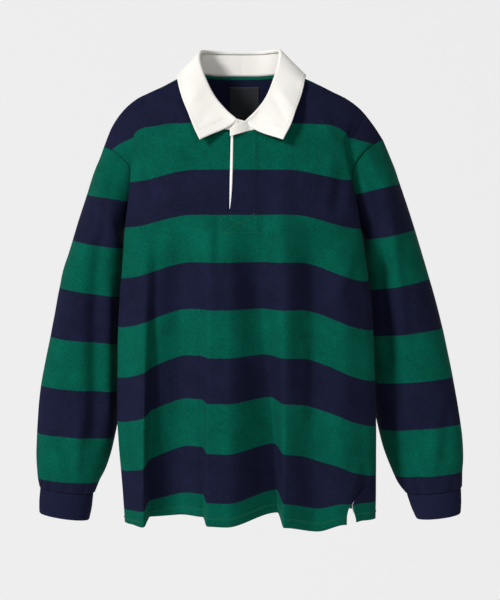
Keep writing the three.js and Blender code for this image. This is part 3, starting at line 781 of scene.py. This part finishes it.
# the back
back = {
    "wall": 1.4,
    "creases": creaseTable([], [
        [-150, -120, -158, -200, 10, 3.0],
        [152, -126, 160, -206, 10, 3.0],
        [-120, -60, -150, -120, 12, -2.6],
        [118, -58, 150, -118, 12, -2.6],
        [-60, -40, -70, -170, 18, 2.4],
        [64, -50, 60, -180, 16, -2.2],
        [-168, -236, -120, -280, 11, -3.0],
        [172, -240, 126, -292, 11, -3.0],
        [-160, -280, -130, -370, 11, 2.6],
        [166, -296, 138, -380, 12, 2.4],
        [10, -180, 4, -320, 12, 2.0],
        [80, -380, 84, -520, 10, 1.8],
        [-90, -420, -100, -560, 10, 2.0],
        [30, -22, 36, -90, 12, -1.6],
    ]),
}
backPoints, backDrops = panelGrid(backColumns(), backTop, backRow, backCrest)
crumple(backPoints, back["creases"], 0, 8.4)
acrossBack = acrossRow(backPoints[rows.index(topRows + 6)])
backCoords = [list(zip(acrossBack, drops)) for drops in backDrops]
backPiece = clothSheet("back_panel", backPoints, backCoords, backJersey, back["wall"])
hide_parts("back_body")
print("back made")

# the sleeves, from sections across them
leftSleeve = {
    "name": "left_sleeve", "node": "sleeve_left",
    "side": -1, "material": leftJersey, "wall": 1.4, "slant": 0.27,
    "cuff": {"outX": -331, "outZ": -668, "inX": -244, "inZ": -678,
             "endOutX": -333, "endInX": -251, "tilt": -8},
    "sections": table(["outX", "outZ", "inX", "inZ", "y", "half"], [
        [-234, -140, -190, -254, 16, 56],
        [-246, -172, -188, -276, 22, 58],
        [-268, -238, -190, -312, 32, 58],
        [-295, -327, -193, -374, 38, 54],
        [-314, -416, -196, -448, 40, 50],
        [-331, -505, -200, -530, 38, 46],
        [-337, -580, -212, -600, 32, 41],
        [-338, -620, -223, -636, 26, 36],
        [-336, -648, -235, -660, 22, 32],
    ]),
    "creases": creaseTable([
        [-224, -190, -236, -380, 15, -9],
        [-236, -370, -238, -590, 14, -9],
        [-214, -330, -218, -560, 8, 4],
        [-222, -160, -232, -260, 9, 4],
        [-276, -300, -296, -470, 18, 3],
        [-300, -560, -280, -640, 10, -3.5],
        [-262, -560, -268, -640, 8, 3.5],
        [-318, -520, -322, -620, 9, 2.5],
    ], [
        [-230, -190, -246, -400, 16, -7],
        [-262, -380, -272, -560, 16, -6],
        [-290, -420, -306, -600, 12, 3],
        [-226, -440, -236, -600, 10, 4],
    ]),
}
rightSleeve = {
    "name": "right_sleeve", "node": "sleeve_right",
    "side": 1, "material": rightJersey, "wall": 1.4, "slant": 0.35,
    "cuff": {"outX": 361, "outZ": -669, "inX": 272, "inZ": -678,
             "endOutX": 361, "endInX": 288, "tilt": -9},
    "sections": table(["outX", "outZ", "inX", "inZ", "y", "half"], [
        [246, -140, 194, -254, 16, 56],
        [258, -172, 196, -276, 22, 58],
        [281, -238, 201, -312, 32, 58],
        [309, -327, 207, -374, 38, 54],
        [333, -416, 213, -448, 40, 50],
        [352, -506, 218, -530, 38, 46],
        [363, -580, 233, -600, 32, 41],
        [365, -620, 247, -638, 26, 36],
        [363, -648, 258, -662, 22, 32],
    ]),
    "creases": creaseTable([
        [212, -170, 226, -320, 14, -7],
        [222, -300, 238, -470, 16, -8],
        [238, -230, 262, -420, 11, 6],
        [262, -590, 290, -664, 9, -5],
        [250, -540, 276, -640, 9, 4],
        [316, -560, 312, -646, 9, 3.5],
        [340, -520, 334, -630, 9, -2.5],
    ], [
        [234, -190, 252, -400, 16, -7],
        [268, -380, 284, -560, 16, -6],
        [300, -400, 322, -590, 12, 3],
        [240, -450, 250, -600, 10, 4],
    ]),
}
cuffMiddle = 18
cuffHalf = 27
sleeveHemHalf = 28
seamGap = 0.3
cuffHeight = 42
sleeveRows = 15
hoopSlant = {"atCuff": 0.07, "from": 160, "to": 520}
pleats = {"from": 0.86, "full": 0.985, "flattened": 0.55, "height": 1.5,
          "wide": 11, "fine": 19, "fineShare": 0.6}


# the armhole ring down the front panel and up the back one, with each point's share round it
def armholeRing(side):
    last = topRows + armholeRows - 1
    inRing = [j for j in range(len(rows)) if rows[j] <= last]
    frontSide = 0 if side < 0 else -1
    backSide = -1 if side < 0 else 0
    ring = [(frontPoints[j][frontSide].copy(), rows[j] / last) for j in inRing]
    ring += [(backPoints[j][backSide].copy(), 2 - rows[j] / last) for j in reversed(inRing[1:-1])]
    return ring + [(ring[0][0].copy(), 2)]


# a smooth curve through rings, with knots spaced by the square root of their distance
def throughPoints(points, t):
    place = (len(points) - 1) * t
    i = min(int(place), len(points) - 2)
    weight = place - i
    a, b = points[i], points[i + 1]
    before = points[i - 1] if i > 0 else a * 2 - b
    after = points[i + 2] if i < len(points) - 2 else b * 2 - a
    knotA = max((a - before).length, 0.0001) ** 0.5
    knotB = max((b - a).length, 0.0001) ** 0.5
    knotC = max((after - b).length, 0.0001) ** 0.5
    slopeA = ((a - before) / knotA - (b - before) / (knotA + knotB) + (b - a) / knotB) * knotB
    slopeB = ((b - a) / knotB - (after - a) / (knotB + knotC) + (after - b) / knotC) * knotB
    w2, w3 = weight ** 2, weight ** 3
    return (a * (2 * w3 - 3 * w2 + 1) + slopeA * (w3 - 2 * w2 + weight)
            + b * (3 * w2 - 2 * w3) + slopeB * (w3 - w2))


def sleevePoints(sleeve):
    ring = armholeRing(sleeve["side"])
    hem = dict(sleeve["cuff"], y=cuffMiddle, half=sleeveHemHalf)
    lines = []
    for start, share in ring:
        angle = share * math.pi
        reach = (1 - math.cos(angle)) / 2
        keys = [start]
        for row in [*sleeve["sections"], hem]:
            keys.append(Vector((mix(row["outX"], row["inX"], reach),
                                row["y"] - row["half"] * math.sin(angle),
                                mix(row["outZ"], row["inZ"], reach))))
        lines.append(keys)
    count = sleeveRows * finer["sleeve"]
    grid = [[throughPoints(keys, j / count) for keys in lines] for j in range(count + 1)]
    return grid, [share for start, share in ring]


# small pleats where the sleeve is gathered into its cuff
def gather(points, shares, seed):
    normals = gridNormals(points)
    count = len(points) - 1
    for j in range(len(points)):
        near = ramp(pleats["from"], pleats["full"], j / count)
        near *= 1 - pleats["flattened"] * ramp(pleats["full"], 1, j / count)
        if near == 0:
            continue
        for i, share in enumerate(shares):
            wave = math.sin(share * math.pi * pleats["wide"] + seed)
            wave += pleats["fineShare"] * math.sin(share * math.pi * pleats["fine"] + 2 * seed)
            strength = 0.55 + 0.45 * math.sin(share * math.pi * 3 + seed)
            points[j][i] += normals[j][i] * pleats["height"] * wave * strength * near


def makeSleeve(sleeve):
    points, shares = sleevePoints(sleeve)
    if sleeve["side"] > 0:
        points = [list(reversed(line)) for line in points]
        shares = list(reversed(shares))
    crumple(points, sleeve["creases"], 30, 5.5 * sleeve["side"], fadeRows=6)
    gather(points, shares, 0.8 * sleeve["side"])
    for line in points:
        line[-1] = line[0].copy()
    around = acrossRow(points[len(points) // 3])
    coords = []
    for line in points:
        outer = max(abs(point.x) for point in line)
        row = []
        for i, point in enumerate(line):
            down = ramp(hoopSlant["from"], hoopSlant["to"], -point.z)
            slope = mix(sleeve["slant"], hoopSlant["atCuff"], down)
            row.append((around[i], -point.z - slope * (outer - abs(point.x))))
        coords.append(row)
    piece = clothSheet(sleeve["name"], points, coords, sleeve["material"], sleeve["wall"])
    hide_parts(sleeve["node"])
    return points


leftPoints = makeSleeve(leftSleeve)
rightPoints = makeSleeve(rightSleeve)
print("sleeves made")

# the rib cuffs
cuffLook = {"ribs": 88, "steps": 4, "relief": 0.35, "wall": 2.0,
            "round": 226, "rolled": 0.9, "puff": 0.9,
            "heights": [0, 0.02, 0.06, 0.15, 0.3, 0.45, 0.6, 0.75, 0.88, 0.95, 0.985, 1]}


def makeCuff(name, node, cuff):
    steps = cuffLook["ribs"] * cuffLook["steps"]
    points = []
    for height in cuffLook["heights"]:
        outX = mix(cuff["outX"], cuff["endOutX"], height)
        inX = mix(cuff["inX"], cuff["endInX"], height)
        outZ = cuff["outZ"] - seamGap - cuffHeight * height
        inZ = cuff["inZ"] - seamGap - (cuffHeight + cuff["tilt"] - (cuff["inZ"] - cuff["outZ"])) * height
        line = []
        for i in range(steps + 1):
            angle = i / steps * 2 * math.pi
            wave = math.cos(i / cuffLook["steps"] * 2 * math.pi)
            ends = ramp(0, 0.05, height) * (1 - ramp(0.97, 1, height))
            rolled = cuffLook["rolled"] * (1 - ramp(0, 0.03, height)) + ramp(0.97, 1, height)
            uneven = 0.5 * noise.noise(Vector((5 * angle, 3 * height, 1)))
            puff = cuffLook["puff"] * math.sin(math.pi * height) + uneven
            offset = puff - rolled - cuffLook["relief"] * (1 - wave) / 2 * ends
            half = abs(outX - inX) / 2 + offset
            line.append(Vector(((outX + inX) / 2 + math.copysign(half, outX) * math.cos(angle),
                                cuffMiddle - (cuffHalf + offset) * math.sin(angle),
                                mix(outZ, inZ, (1 - math.cos(angle)) / 2))))
        if outX > 0:
            line.reverse()
        line[-1] = line[0].copy()
        points.append(line)
    coords = evenCoords([i / steps * cuffLook["round"] for i in range(steps + 1)],
                        [height * cuffHeight for height in cuffLook["heights"]])
    piece = clothSheet(name, points, coords, navyRib, cuffLook["wall"])
    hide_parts(node)


makeCuff("left_cuff", "cuff_left", leftSleeve["cuff"])
makeCuff("right_cuff", "cuff_right", rightSleeve["cuff"])
print("cuffs made")

# the collar, from its fold and its edge at turns round the neck
collarSections = table(["turn", "foldX", "foldY", "foldZ", "edgeX", "edgeY", "edgeZ"], [
    [-180, 0, 50, 44, 0, 72, -14],
    [-150, -34, 47, 44, -48, 64, -12],
    [-125, -58, 30, 44, -85, 44, -3],
    [-105, -66, 8, 40, -102, 10, 4.5],
    [-85, -67, -8, 26, -101, -22, -8.5],
    [-65, -60, -24, 2, -94, -42, -34],
    [-40, -44, -44, -32, -84, -64, -58],
    [-20, -24, -60, -57, -73, -80, -84],
    [-5, -6, -69, -73, -64, -90, -103],
    [5, 8, -71, -74, 65, -90, -103],
    [20, 24, -62, -58, 77, -80, -80],
    [40, 40, -46, -36, 86, -64, -56],
    [65, 53, -26, -4, 95, -42, -32],
    [85, 60, -8, 22, 101, -22, -8.5],
    [105, 62, 8, 42, 103, 10, 4.5],
    [125, 54, 30, 45, 86, 44, -3],
    [150, 32, 47, 44, 48, 64, -12],
    [180, 0, 50, 44, 0, 72, -14],
])
collar = {
    "standEnd": 8, "leafEnd": 5, "standInset": 0.988, "standLift": 0.9,
    "standWall": 1.8, "leafWall": 1.8, "rowHeight": 3.5, "tuckedBack": 0.06,
    "lapUnder": (14, -66, -91, 2, 15), "lapOver": (-17, -78, -98, 0, 12), "lapForward": -3,
    "foldForward": 0.55, "foldRadius": 2.75, "bulge": 5,
    "droopLeft": 6, "droopRight": 9.5, "droopShape": 0.52,
    "standRows": 12, "lapSteps": 12, "foldRows": 8, "leafRows": 28,
}


# the collar's section at a turn, from the rows of its own half
def collarPlace(turn):
    return readTable([row for row in collarSections if (row["turn"] < 0) == (turn < 0)], "turn", turn)


def collarTurns(end):
    half = evenly(end, 180, 90)
    return [-turn for turn in half] + [180] + list(reversed(half))


def standPoint(turn, height):
    place = collarPlace(turn)
    edge = neckPoint(turn)
    inset = collar["standInset"]
    foot = Vector((edge.x * inset, edge.y * inset, edge.z + collar["standLift"]))
    return foot.lerp(Vector((place["foldX"], place["foldY"], place["foldZ"])), height)


def makeStand():
    points = []
    steps = collar["lapSteps"]
    for j in range(collar["standRows"] + 1):
        height = 1 - j / collar["standRows"]
        line = [standPoint(turn, height) for turn in collarTurns(collar["standEnd"])]
        x, y, z, lean, rise = collar["lapUnder"]
        under = Vector((x, y + lean * height, z + rise * height))
        x, y, z, lean, rise = collar["lapOver"]
        over = Vector((x, y + lean * height, z + rise * height))
        lapped = line[-1].lerp(over, 0.5) + Vector((0, collar["lapForward"], 0))
        start = [under.lerp(line[0], i / steps) for i in range(steps)]
        finish = []
        for i in range(1, 2 * steps + 1):
            t = i / steps / 2
            bend = (lapped * 2 - (line[-1] + over) / 2) * 2 * t * (1 - t)
            finish.append(line[-1] * (1 - t) ** 2 + bend + over * t * t)
        points.append(start + line + finish)
    coords = evenCoords(acrossRow(points[-1]), [j * collar["rowHeight"] for j in range(len(points))])
    piece = clothSheet("collar_band", points, coords, whiteTwill, collar["standWall"])
    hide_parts("collar_stand")


# the fold's centre, the way out of the collar and the slope of the leaf where it leaves the fold
def leafFold(turn):
    place = collarPlace(turn)
    edge = Vector((place["edgeX"], place["edgeY"], place["edgeZ"]))
    fold = Vector((place["foldX"], place["foldY"], place["foldZ"] - 1))
    outward = edge - fold
    outward.z = 0
    reach = outward.length
    outward.normalize()
    bulge = mix(collar["bulge"], 0, ramp(50, 85, abs(turn)) * (1 - ramp(125, 160, abs(turn))))
    slope = math.atan2(reach + bulge * math.pi, fold.z - edge.z)
    return fold + outward * collar["foldForward"], outward, slope, edge, bulge


# a point round the fold: swing is 0 inside the stand and 1 where the leaf leaves the fold
def foldPoint(turn, swing):
    centre, outward, slope = leafFold(turn)[:3]
    angle = mix(-collar["tuckedBack"] * math.pi, math.pi - slope, swing)
    radius = collar["foldRadius"]
    return centre - outward * radius * math.cos(angle) + Vector((0, 0, radius * math.sin(angle)))


def leafPoint(turn, share):
    centre, outward, slope, edge, bulge = leafFold(turn)
    bend = math.sin(math.pi * share)
    droop = collar["droopRight"] if turn > 0 else collar["droopLeft"]
    droop *= math.sin(math.pi * share ** collar["droopShape"])
    droop *= 1 - ramp(5, 35, abs(turn))
    return foldPoint(turn, 1).lerp(edge, share) + outward * bulge * bend - Vector((0, 0, droop))


leafCreases = creaseTable([
    [60, -22, 84, -60, 7, 1.3],
    [50, -34, 72, -78, 6, -1.1],
    [-62, -20, -84, -52, 8, 1.6],
    [-46, -52, -70, -84, 7, -1.3],
    [40, -66, 62, -92, 6, 1.0],
], [
    [-40, 30, -60, -6, 12, 1.4],
    [42, 28, 56, -8, 12, -1.2],
])


def makeLeaf():
    turns = list(reversed(collarTurns(collar["leafEnd"])))
    points = []
    for tail in (1, 0.5):
        tucked = Vector((0, 0, 3 * tail))
        points.append([foldPoint(turn, 0) + leafFold(turn)[1] * tail - tucked for turn in turns])
    for j in range(collar["foldRows"]):
        points.append([foldPoint(turn, j / collar["foldRows"]) for turn in turns])
    for j in range(collar["leafRows"] + 1):
        points.append([leafPoint(turn, j / collar["leafRows"]) for turn in turns])
    crumple(points, leafCreases, 10, 2.2, rise=0.35, fadeRows=12, fadeColumns=3)
    coords = evenCoords(acrossRow(points[20]), lengthsAlong(columnOf(points, 40)))
    piece = clothSheet("collar_fall", points, coords, whiteTwill, collar["leafWall"])
    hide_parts("collar_leaf")
    return points


makeStand()
leafPoints = makeLeaf()
print("collar made")


# a strip of cloth at a depth inside a panel's points
def insideStrip(name, points, depth, wall, material):
    normals = gridNormals(points)
    moved = [[p - n * depth for p, n in zip(line, around)] for line, around in zip(points, normals)]
    coords = evenCoords(acrossRow(moved[0]), lengthsAlong(columnOf(moved, 0)))
    return clothSheet(name, moved, coords, material, wall)


underlap = {"firstRow": 11, "columnsLeft": 4, "columnsRight": 13,
            "depth": 1.9, "wall": 1.0, "recess": 0.5,
            "topDeeper": 1.6, "topRows": 4, "shares": (0.04, 0.3, 0.6, 0.9)}


# the strip behind the slit, which comes forward between the slit's two edges
def underlapPoints():
    normals = gridNormals(frontPoints)
    points = []
    for j in range(underlap["firstRow"], slitRow + 1):
        line = []
        deeper = underlap["topDeeper"] * (1 - ramp(0, underlap["topRows"], j - underlap["firstRow"]))
        for i in range(slitAt - underlap["columnsLeft"], slitAt + 1):
            line.append(frontPoints[j][i] - normals[j][i] * (underlap["depth"] + deeper))
        left, right = frontPoints[j][slitAt], frontPoints[j][slitAt + 1]
        facing = Vector((0, underlap["recess"], 0))
        for share in underlap["shares"]:
            line.append(left.lerp(right, share) + facing)
        for i in range(slitAt + 1, slitAt + underlap["columnsRight"]):
            line.append(frontPoints[j][i] - normals[j][i] * (underlap["depth"] + front["placketRise"]))
        points.append(line)
    return points


underlapPiece = insideStrip("slit_underlap", underlapPoints(), 0, underlap["wall"], whiteTwill)
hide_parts("placket_underlap")

label = {"left": -20, "right": 30, "top": -12, "bottom": -66, "depth": 1.9, "wall": 0.8,
         "rows": 22, "columns": 20, "sewnRow": 19}


# the point of a panel's grid at an x and a height
def onGrid(grid, x, z):
    line = []
    for row in grid:
        i = 0
        while i < len(row) - 2 and (row[i].x - x) * (row[i + 1].x - x) > 0:
            i += 1
        line.append(row[i].lerp(row[i + 1], (x - row[i].x) / (row[i + 1].x - row[i].x)))
    j = 0
    while j < len(line) - 2 and line[j + 1].z > z:
        j += 1
    return line[j].lerp(line[j + 1], (z - line[j].z) / (line[j + 1].z - line[j].z))


labelAcross = evenly(label["right"], label["left"], label["columns"]) + [label["left"]]
labelDown = evenly(label["top"], label["bottom"], label["rows"]) + [label["bottom"]]
labelPoints = [[onGrid(backPoints, x, z) for x in labelAcross] for z in labelDown]
labelPiece = insideStrip("neck_label_cloth", labelPoints, label["depth"], label["wall"], labelSatin)
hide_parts("neck_label")

tape = {"depth": 1.5, "wall": 0.8, "top": 650, "bottom": 686,
        "proud": 1.2, "wide": 8.8, "shares": (0.34, 0.67, 1)}


# a strip inside one edge of a vent, which shows a little past that edge
def ventTapePoints(panel, edge, inward):
    points = []
    for j in range(len(rows)):
        if rows[j] < topRows or not tape["top"] <= dropAt(rows[j]) <= tape["bottom"]:
            continue
        line = [panel[j][edge].copy()]
        line.insert(0, line[0] + (line[0] - panel[j][edge + inward]).normalized() * tape["proud"])
        for share in tape["shares"]:
            line.append(alongRow(panel[j], edge, inward, tape["wide"] * share))
        points.append(line if inward > 0 else list(reversed(line)))
    return points


# the point at a distance from one end of a row of points
def alongRow(line, edge, inward, distance):
    gone = 0
    i = edge
    while True:
        step = (line[i + inward] - line[i]).length
        if gone + step >= distance:
            return line[i].lerp(line[i + inward], (distance - gone) / step)
        gone += step
        i += inward


for side in ("left", "right"):
    edges = ((frontPoints, 0, 1, "_front"), (backPoints, -1, -1, "_back"))
    if side == "right":
        edges = ((frontPoints, -1, -1, "_front"), (backPoints, 0, 1, "_back"))
    for panel, edge, inward, ending in edges:
        tapePiece = insideStrip(side + "_vent_tape" + ending, ventTapePoints(panel, edge, inward),
                                tape["depth"], tape["wall"], whiteTape)
        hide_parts("vent_tape_" + side)
print("strips made")

# sewing: each stitch is a small grain of thread lying on the cloth
stitch = {"length": 2.4, "gap": 1.0, "radius": 0.48, "proud": 0.3}


# even places along a line of (point, normal) pairs, with the way the line runs there
def placesAlong(line, spacing):
    places = []
    left = spacing / 2
    for (a, normalA), (b, normalB) in zip(line, line[1:]):
        length = (b - a).length
        while left <= length and length > 0:
            share = left / length
            normal = normalA.lerp(normalB, share).normalized()
            places.append((a.lerp(b, share), normal, (b - a) / length))
            left += spacing
        left -= length
    return places


def stitches(name, lines, material):
    mesh = bmesh.new()
    for line in lines:
        for point, normal, way in placesAlong(line, stitch["length"] + stitch["gap"]):
            aside = normal.cross(way).normalized()
            above = way.cross(aside)
            turned = Matrix((way, aside, above)).transposed().to_4x4()
            sized = Matrix.Diagonal((stitch["length"] / 2, stitch["radius"], stitch["radius"], 1))
            place = Matrix.Translation((point + normal * stitch["proud"]) * mm)
            bmesh.ops.create_icosphere(mesh, subdivisions=1, radius=mm, matrix=place @ turned @ sized)
    piece = meshPiece(name, mesh, material)
    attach(piece, "root")


# sewing thread: spun, slightly glossy
def threadMaterial(name, code):
    material, tree = newMaterial(name)
    place = addNode(tree, "ShaderNodeTexCoord").outputs["Object"]
    twist = addNode(tree, "ShaderNodeTexWave", {
        "Vector": place, "Scale": bandScale(0.5), "Distortion": 2.0, "Detail": 1.0})
    bump = addNode(tree, "ShaderNodeBump", {
        "Height": twist.outputs["Fac"], "Strength": 0.5, "Distance": 0.1 * mm})
    surface = addNode(tree, "ShaderNodeBsdfPrincipled", {
        "Base Color": linear(code), "Roughness": 0.6, "IOR": 1.5, "Normal": bump.outputs[0],
        "Specular IOR Level": 0.3})
    addNode(tree, "ShaderNodeOutputMaterial", {"Surface": surface.outputs[0]})
    return material


greenThread = threadMaterial("green_sewing_thread", "#177a5b")
navyThread = threadMaterial("navy_sewing_thread", "#15182a")
whiteThread = threadMaterial("white_sewing_thread", "#efece4")
greyThread = threadMaterial("grey_sewing_thread", "#6b6a62")


# the line across a panel at a drop
def lineAcross(points, drops, drop):
    normals = gridNormals(points)
    line = []
    for i in range(1, len(points[0]) - 1):
        j = max(k for k in range(len(points) - 1) if drops[k][i] <= drop)
        share = (drop - drops[j][i]) / (drops[j + 1][i] - drops[j][i])
        line.append((points[j][i].lerp(points[j + 1][i], min(share, 1)), normals[j][i]))
    return line


# a line on the front through places of x and drop
def lineOnFront(places):
    normals = gridNormals(frontPoints)
    line = []
    for (x1, drop1), (x2, drop2) in zip(places, places[1:]):
        count = max(2, round(math.hypot(x2 - x1, drop2 - drop1) / 2))
        for k in range(count + 1):
            x, drop = mix(x1, x2, k / count), mix(drop1, drop2, k / count)
            drops = columnOf(frontDrops, slitAt)
            j = max(r for r in range(len(frontPoints) - 1) if drops[r] <= drop)
            row = frontPoints[j]
            i = max(c for c in range(len(row) - 1) if row[c].x <= x)
            rowShare = (drop - drops[j]) / (drops[j + 1] - drops[j])
            share = (x - row[i].x) / (row[i + 1].x - row[i].x)
            below = frontPoints[j + 1][i].lerp(frontPoints[j + 1][i + 1], share)
            line.append((row[i].lerp(row[i + 1], share).lerp(below, rowShare), normals[j][i]))
    return line


hemStitch = {"rise": 12, "gap": 2.5}
hemDrop = bodyLength - hemStitch["rise"]
for name, points, drops in (("front", frontPoints, frontDrops), ("back", backPoints, backDrops)):
    hemLines = [lineAcross(points, drops, drop) for drop in (hemDrop, hemDrop - hemStitch["gap"])]
    stitches(name + "_hem_stitches", hemLines, greenThread)

# the placket: its edge, the curved end of the lap, and a box with a cross below the slit
box = {"left": -32, "right": 31, "top": 220, "bottom": 248, "crossIn": 3, "crossDown": 1, "crossUp": 2}
lap = {"x": 19.5, "top": 96, "greenEnd": 147, "navyStart": 148, "end": 217}
lapEnd = [(-18, 220), (-15, 227), (-8, 231), (6, 231), (14, 227), (lap["x"], lap["end"] + 1)]
boxEdge = [(box["left"], box["top"]), (box["left"], box["bottom"]),
           (box["right"], box["bottom"]), (box["right"], box["top"])]
crossLeft, crossRight = box["left"] + box["crossIn"], box["right"] - box["crossIn"]
crossTop, crossBottom = box["top"] + box["crossDown"], box["bottom"] - box["crossUp"]
placketGreen = [
    [(lap["x"], lap["top"]), (lap["x"], lap["greenEnd"])],
    lapEnd,
    boxEdge,
    [(crossLeft, crossTop), (crossRight, crossBottom)],
    [(crossRight, crossTop), (crossLeft, crossBottom)],
]
placketNavy = [(lap["x"], lap["navyStart"]), (lap["x"], lap["end"])]
greenLines = [lineOnFront(places) for places in placketGreen]
stitches("placket_green_stitches", greenLines, greenThread)
stitches("placket_navy_stitches", [lineOnFront(placketNavy)], navyThread)


# the leaf: a line beside its lower edge and lines down its two ends
leafSewing = {"row": len(leafPoints) - 4, "top": 14, "left": 5, "right": -6}
leafCells = [list(zip(line, around)) for line, around in zip(leafPoints, gridNormals(leafPoints))]
leafLines = [leafCells[leafSewing["row"]][leafSewing["left"]:leafSewing["right"] + 1]]
for column in (leafSewing["left"], leafSewing["right"]):
    leafLines.append(columnOf(leafCells[leafSewing["top"]:leafSewing["row"]], column))
stitches("collar_stitches", leafLines, whiteThread)

# the cuffs' seams, on the sleeves
for name, points in (("left", leftPoints), ("right", rightPoints)):
    cuffLine = list(zip(points[-3], gridNormals(points)[-3]))
    stitches(name + "_cuff_stitches", [cuffLine], navyThread)

# the label: a line is sewn across it near its lower end
labelCells = zip(labelPoints[label["sewnRow"]], gridNormals(labelPoints)[label["sewnRow"]])
labelFace = label["depth"] + label["wall"]
labelLine = [(point - normal * labelFace, -normal) for point, normal in labelCells]
stitches("label_stitches", [labelLine[1:-1]], greyThread)
print("sewing made")

# stage and light
stage = {"front": -4.5, "floor": -2.9, "wall": 4.4, "wide": 7, "tall": 5, "curve": 0.8, "steps": 12,
         "colour": "#6a6a6a", "glow": 0.74, "worldLight": 0.12}


def makeStage():
    profile = [(stage["front"], stage["floor"])]
    for i in range(stage["steps"] + 1):
        angle = math.pi / 2 * i / stage["steps"]
        profile.append((stage["wall"] - stage["curve"] + stage["curve"] * math.sin(angle),
                        stage["floor"] + stage["curve"] - stage["curve"] * math.cos(angle)))
    profile.append((stage["wall"], stage["tall"]))
    mesh = bmesh.new()
    verts = [mesh.verts.new((-stage["wide"], y, z)) for y, z in profile]
    edges = [mesh.edges.new(pair) for pair in zip(verts, verts[1:])]
    made = bmesh.ops.extrude_edge_only(mesh, edges=edges)
    moved = [item for item in made["geom"] if isinstance(item, bmesh.types.BMVert)]
    bmesh.ops.translate(mesh, verts=moved, vec=(2 * stage["wide"], 0, 0))
    material, tree = newMaterial("matt_paper")
    surface = addNode(tree, "ShaderNodeBsdfPrincipled", {
        "Base Color": linear(stage["colour"]), "Roughness": 0.9, "Specular IOR Level": 0.1,
        "Emission Color": (1, 1, 1, 1), "Emission Strength": stage["glow"]})
    addNode(tree, "ShaderNodeOutputMaterial", {"Surface": surface.outputs[0]})
    meshPiece("studio_sweep", mesh, material)


def areaLight(name, place, size, power):
    data = bpy.data.lights.new(name, "AREA")
    data.shape = "DISK"
    data.size = size
    data.energy = power
    light = bpy.data.objects.new(name, data)
    light.location = place
    light.rotation_mode = "QUATERNION"
    light.rotation_quaternion = (Vector(litPlace) - Vector(place)).to_track_quat("-Z", "Y")
    scene.collection.objects.link(light)


litPlace = (0, 0, -0.35)
makeStage()
areaLight("key_light", (-4.9, -4.85, 3.0), size=1.9, power=490)
areaLight("front_light", (2.2, -5.4, 2.8), size=2.2, power=82)
world = bpy.data.worlds.new("studio_world")
world.use_nodes = True
background = world.node_tree.nodes["Background"]
background.inputs["Color"].default_value = (1, 1, 1, 1)
background.inputs["Strength"].default_value = stage["worldLight"]
scene.world = world
scene.view_settings.view_transform = "Standard"
print("stage made")
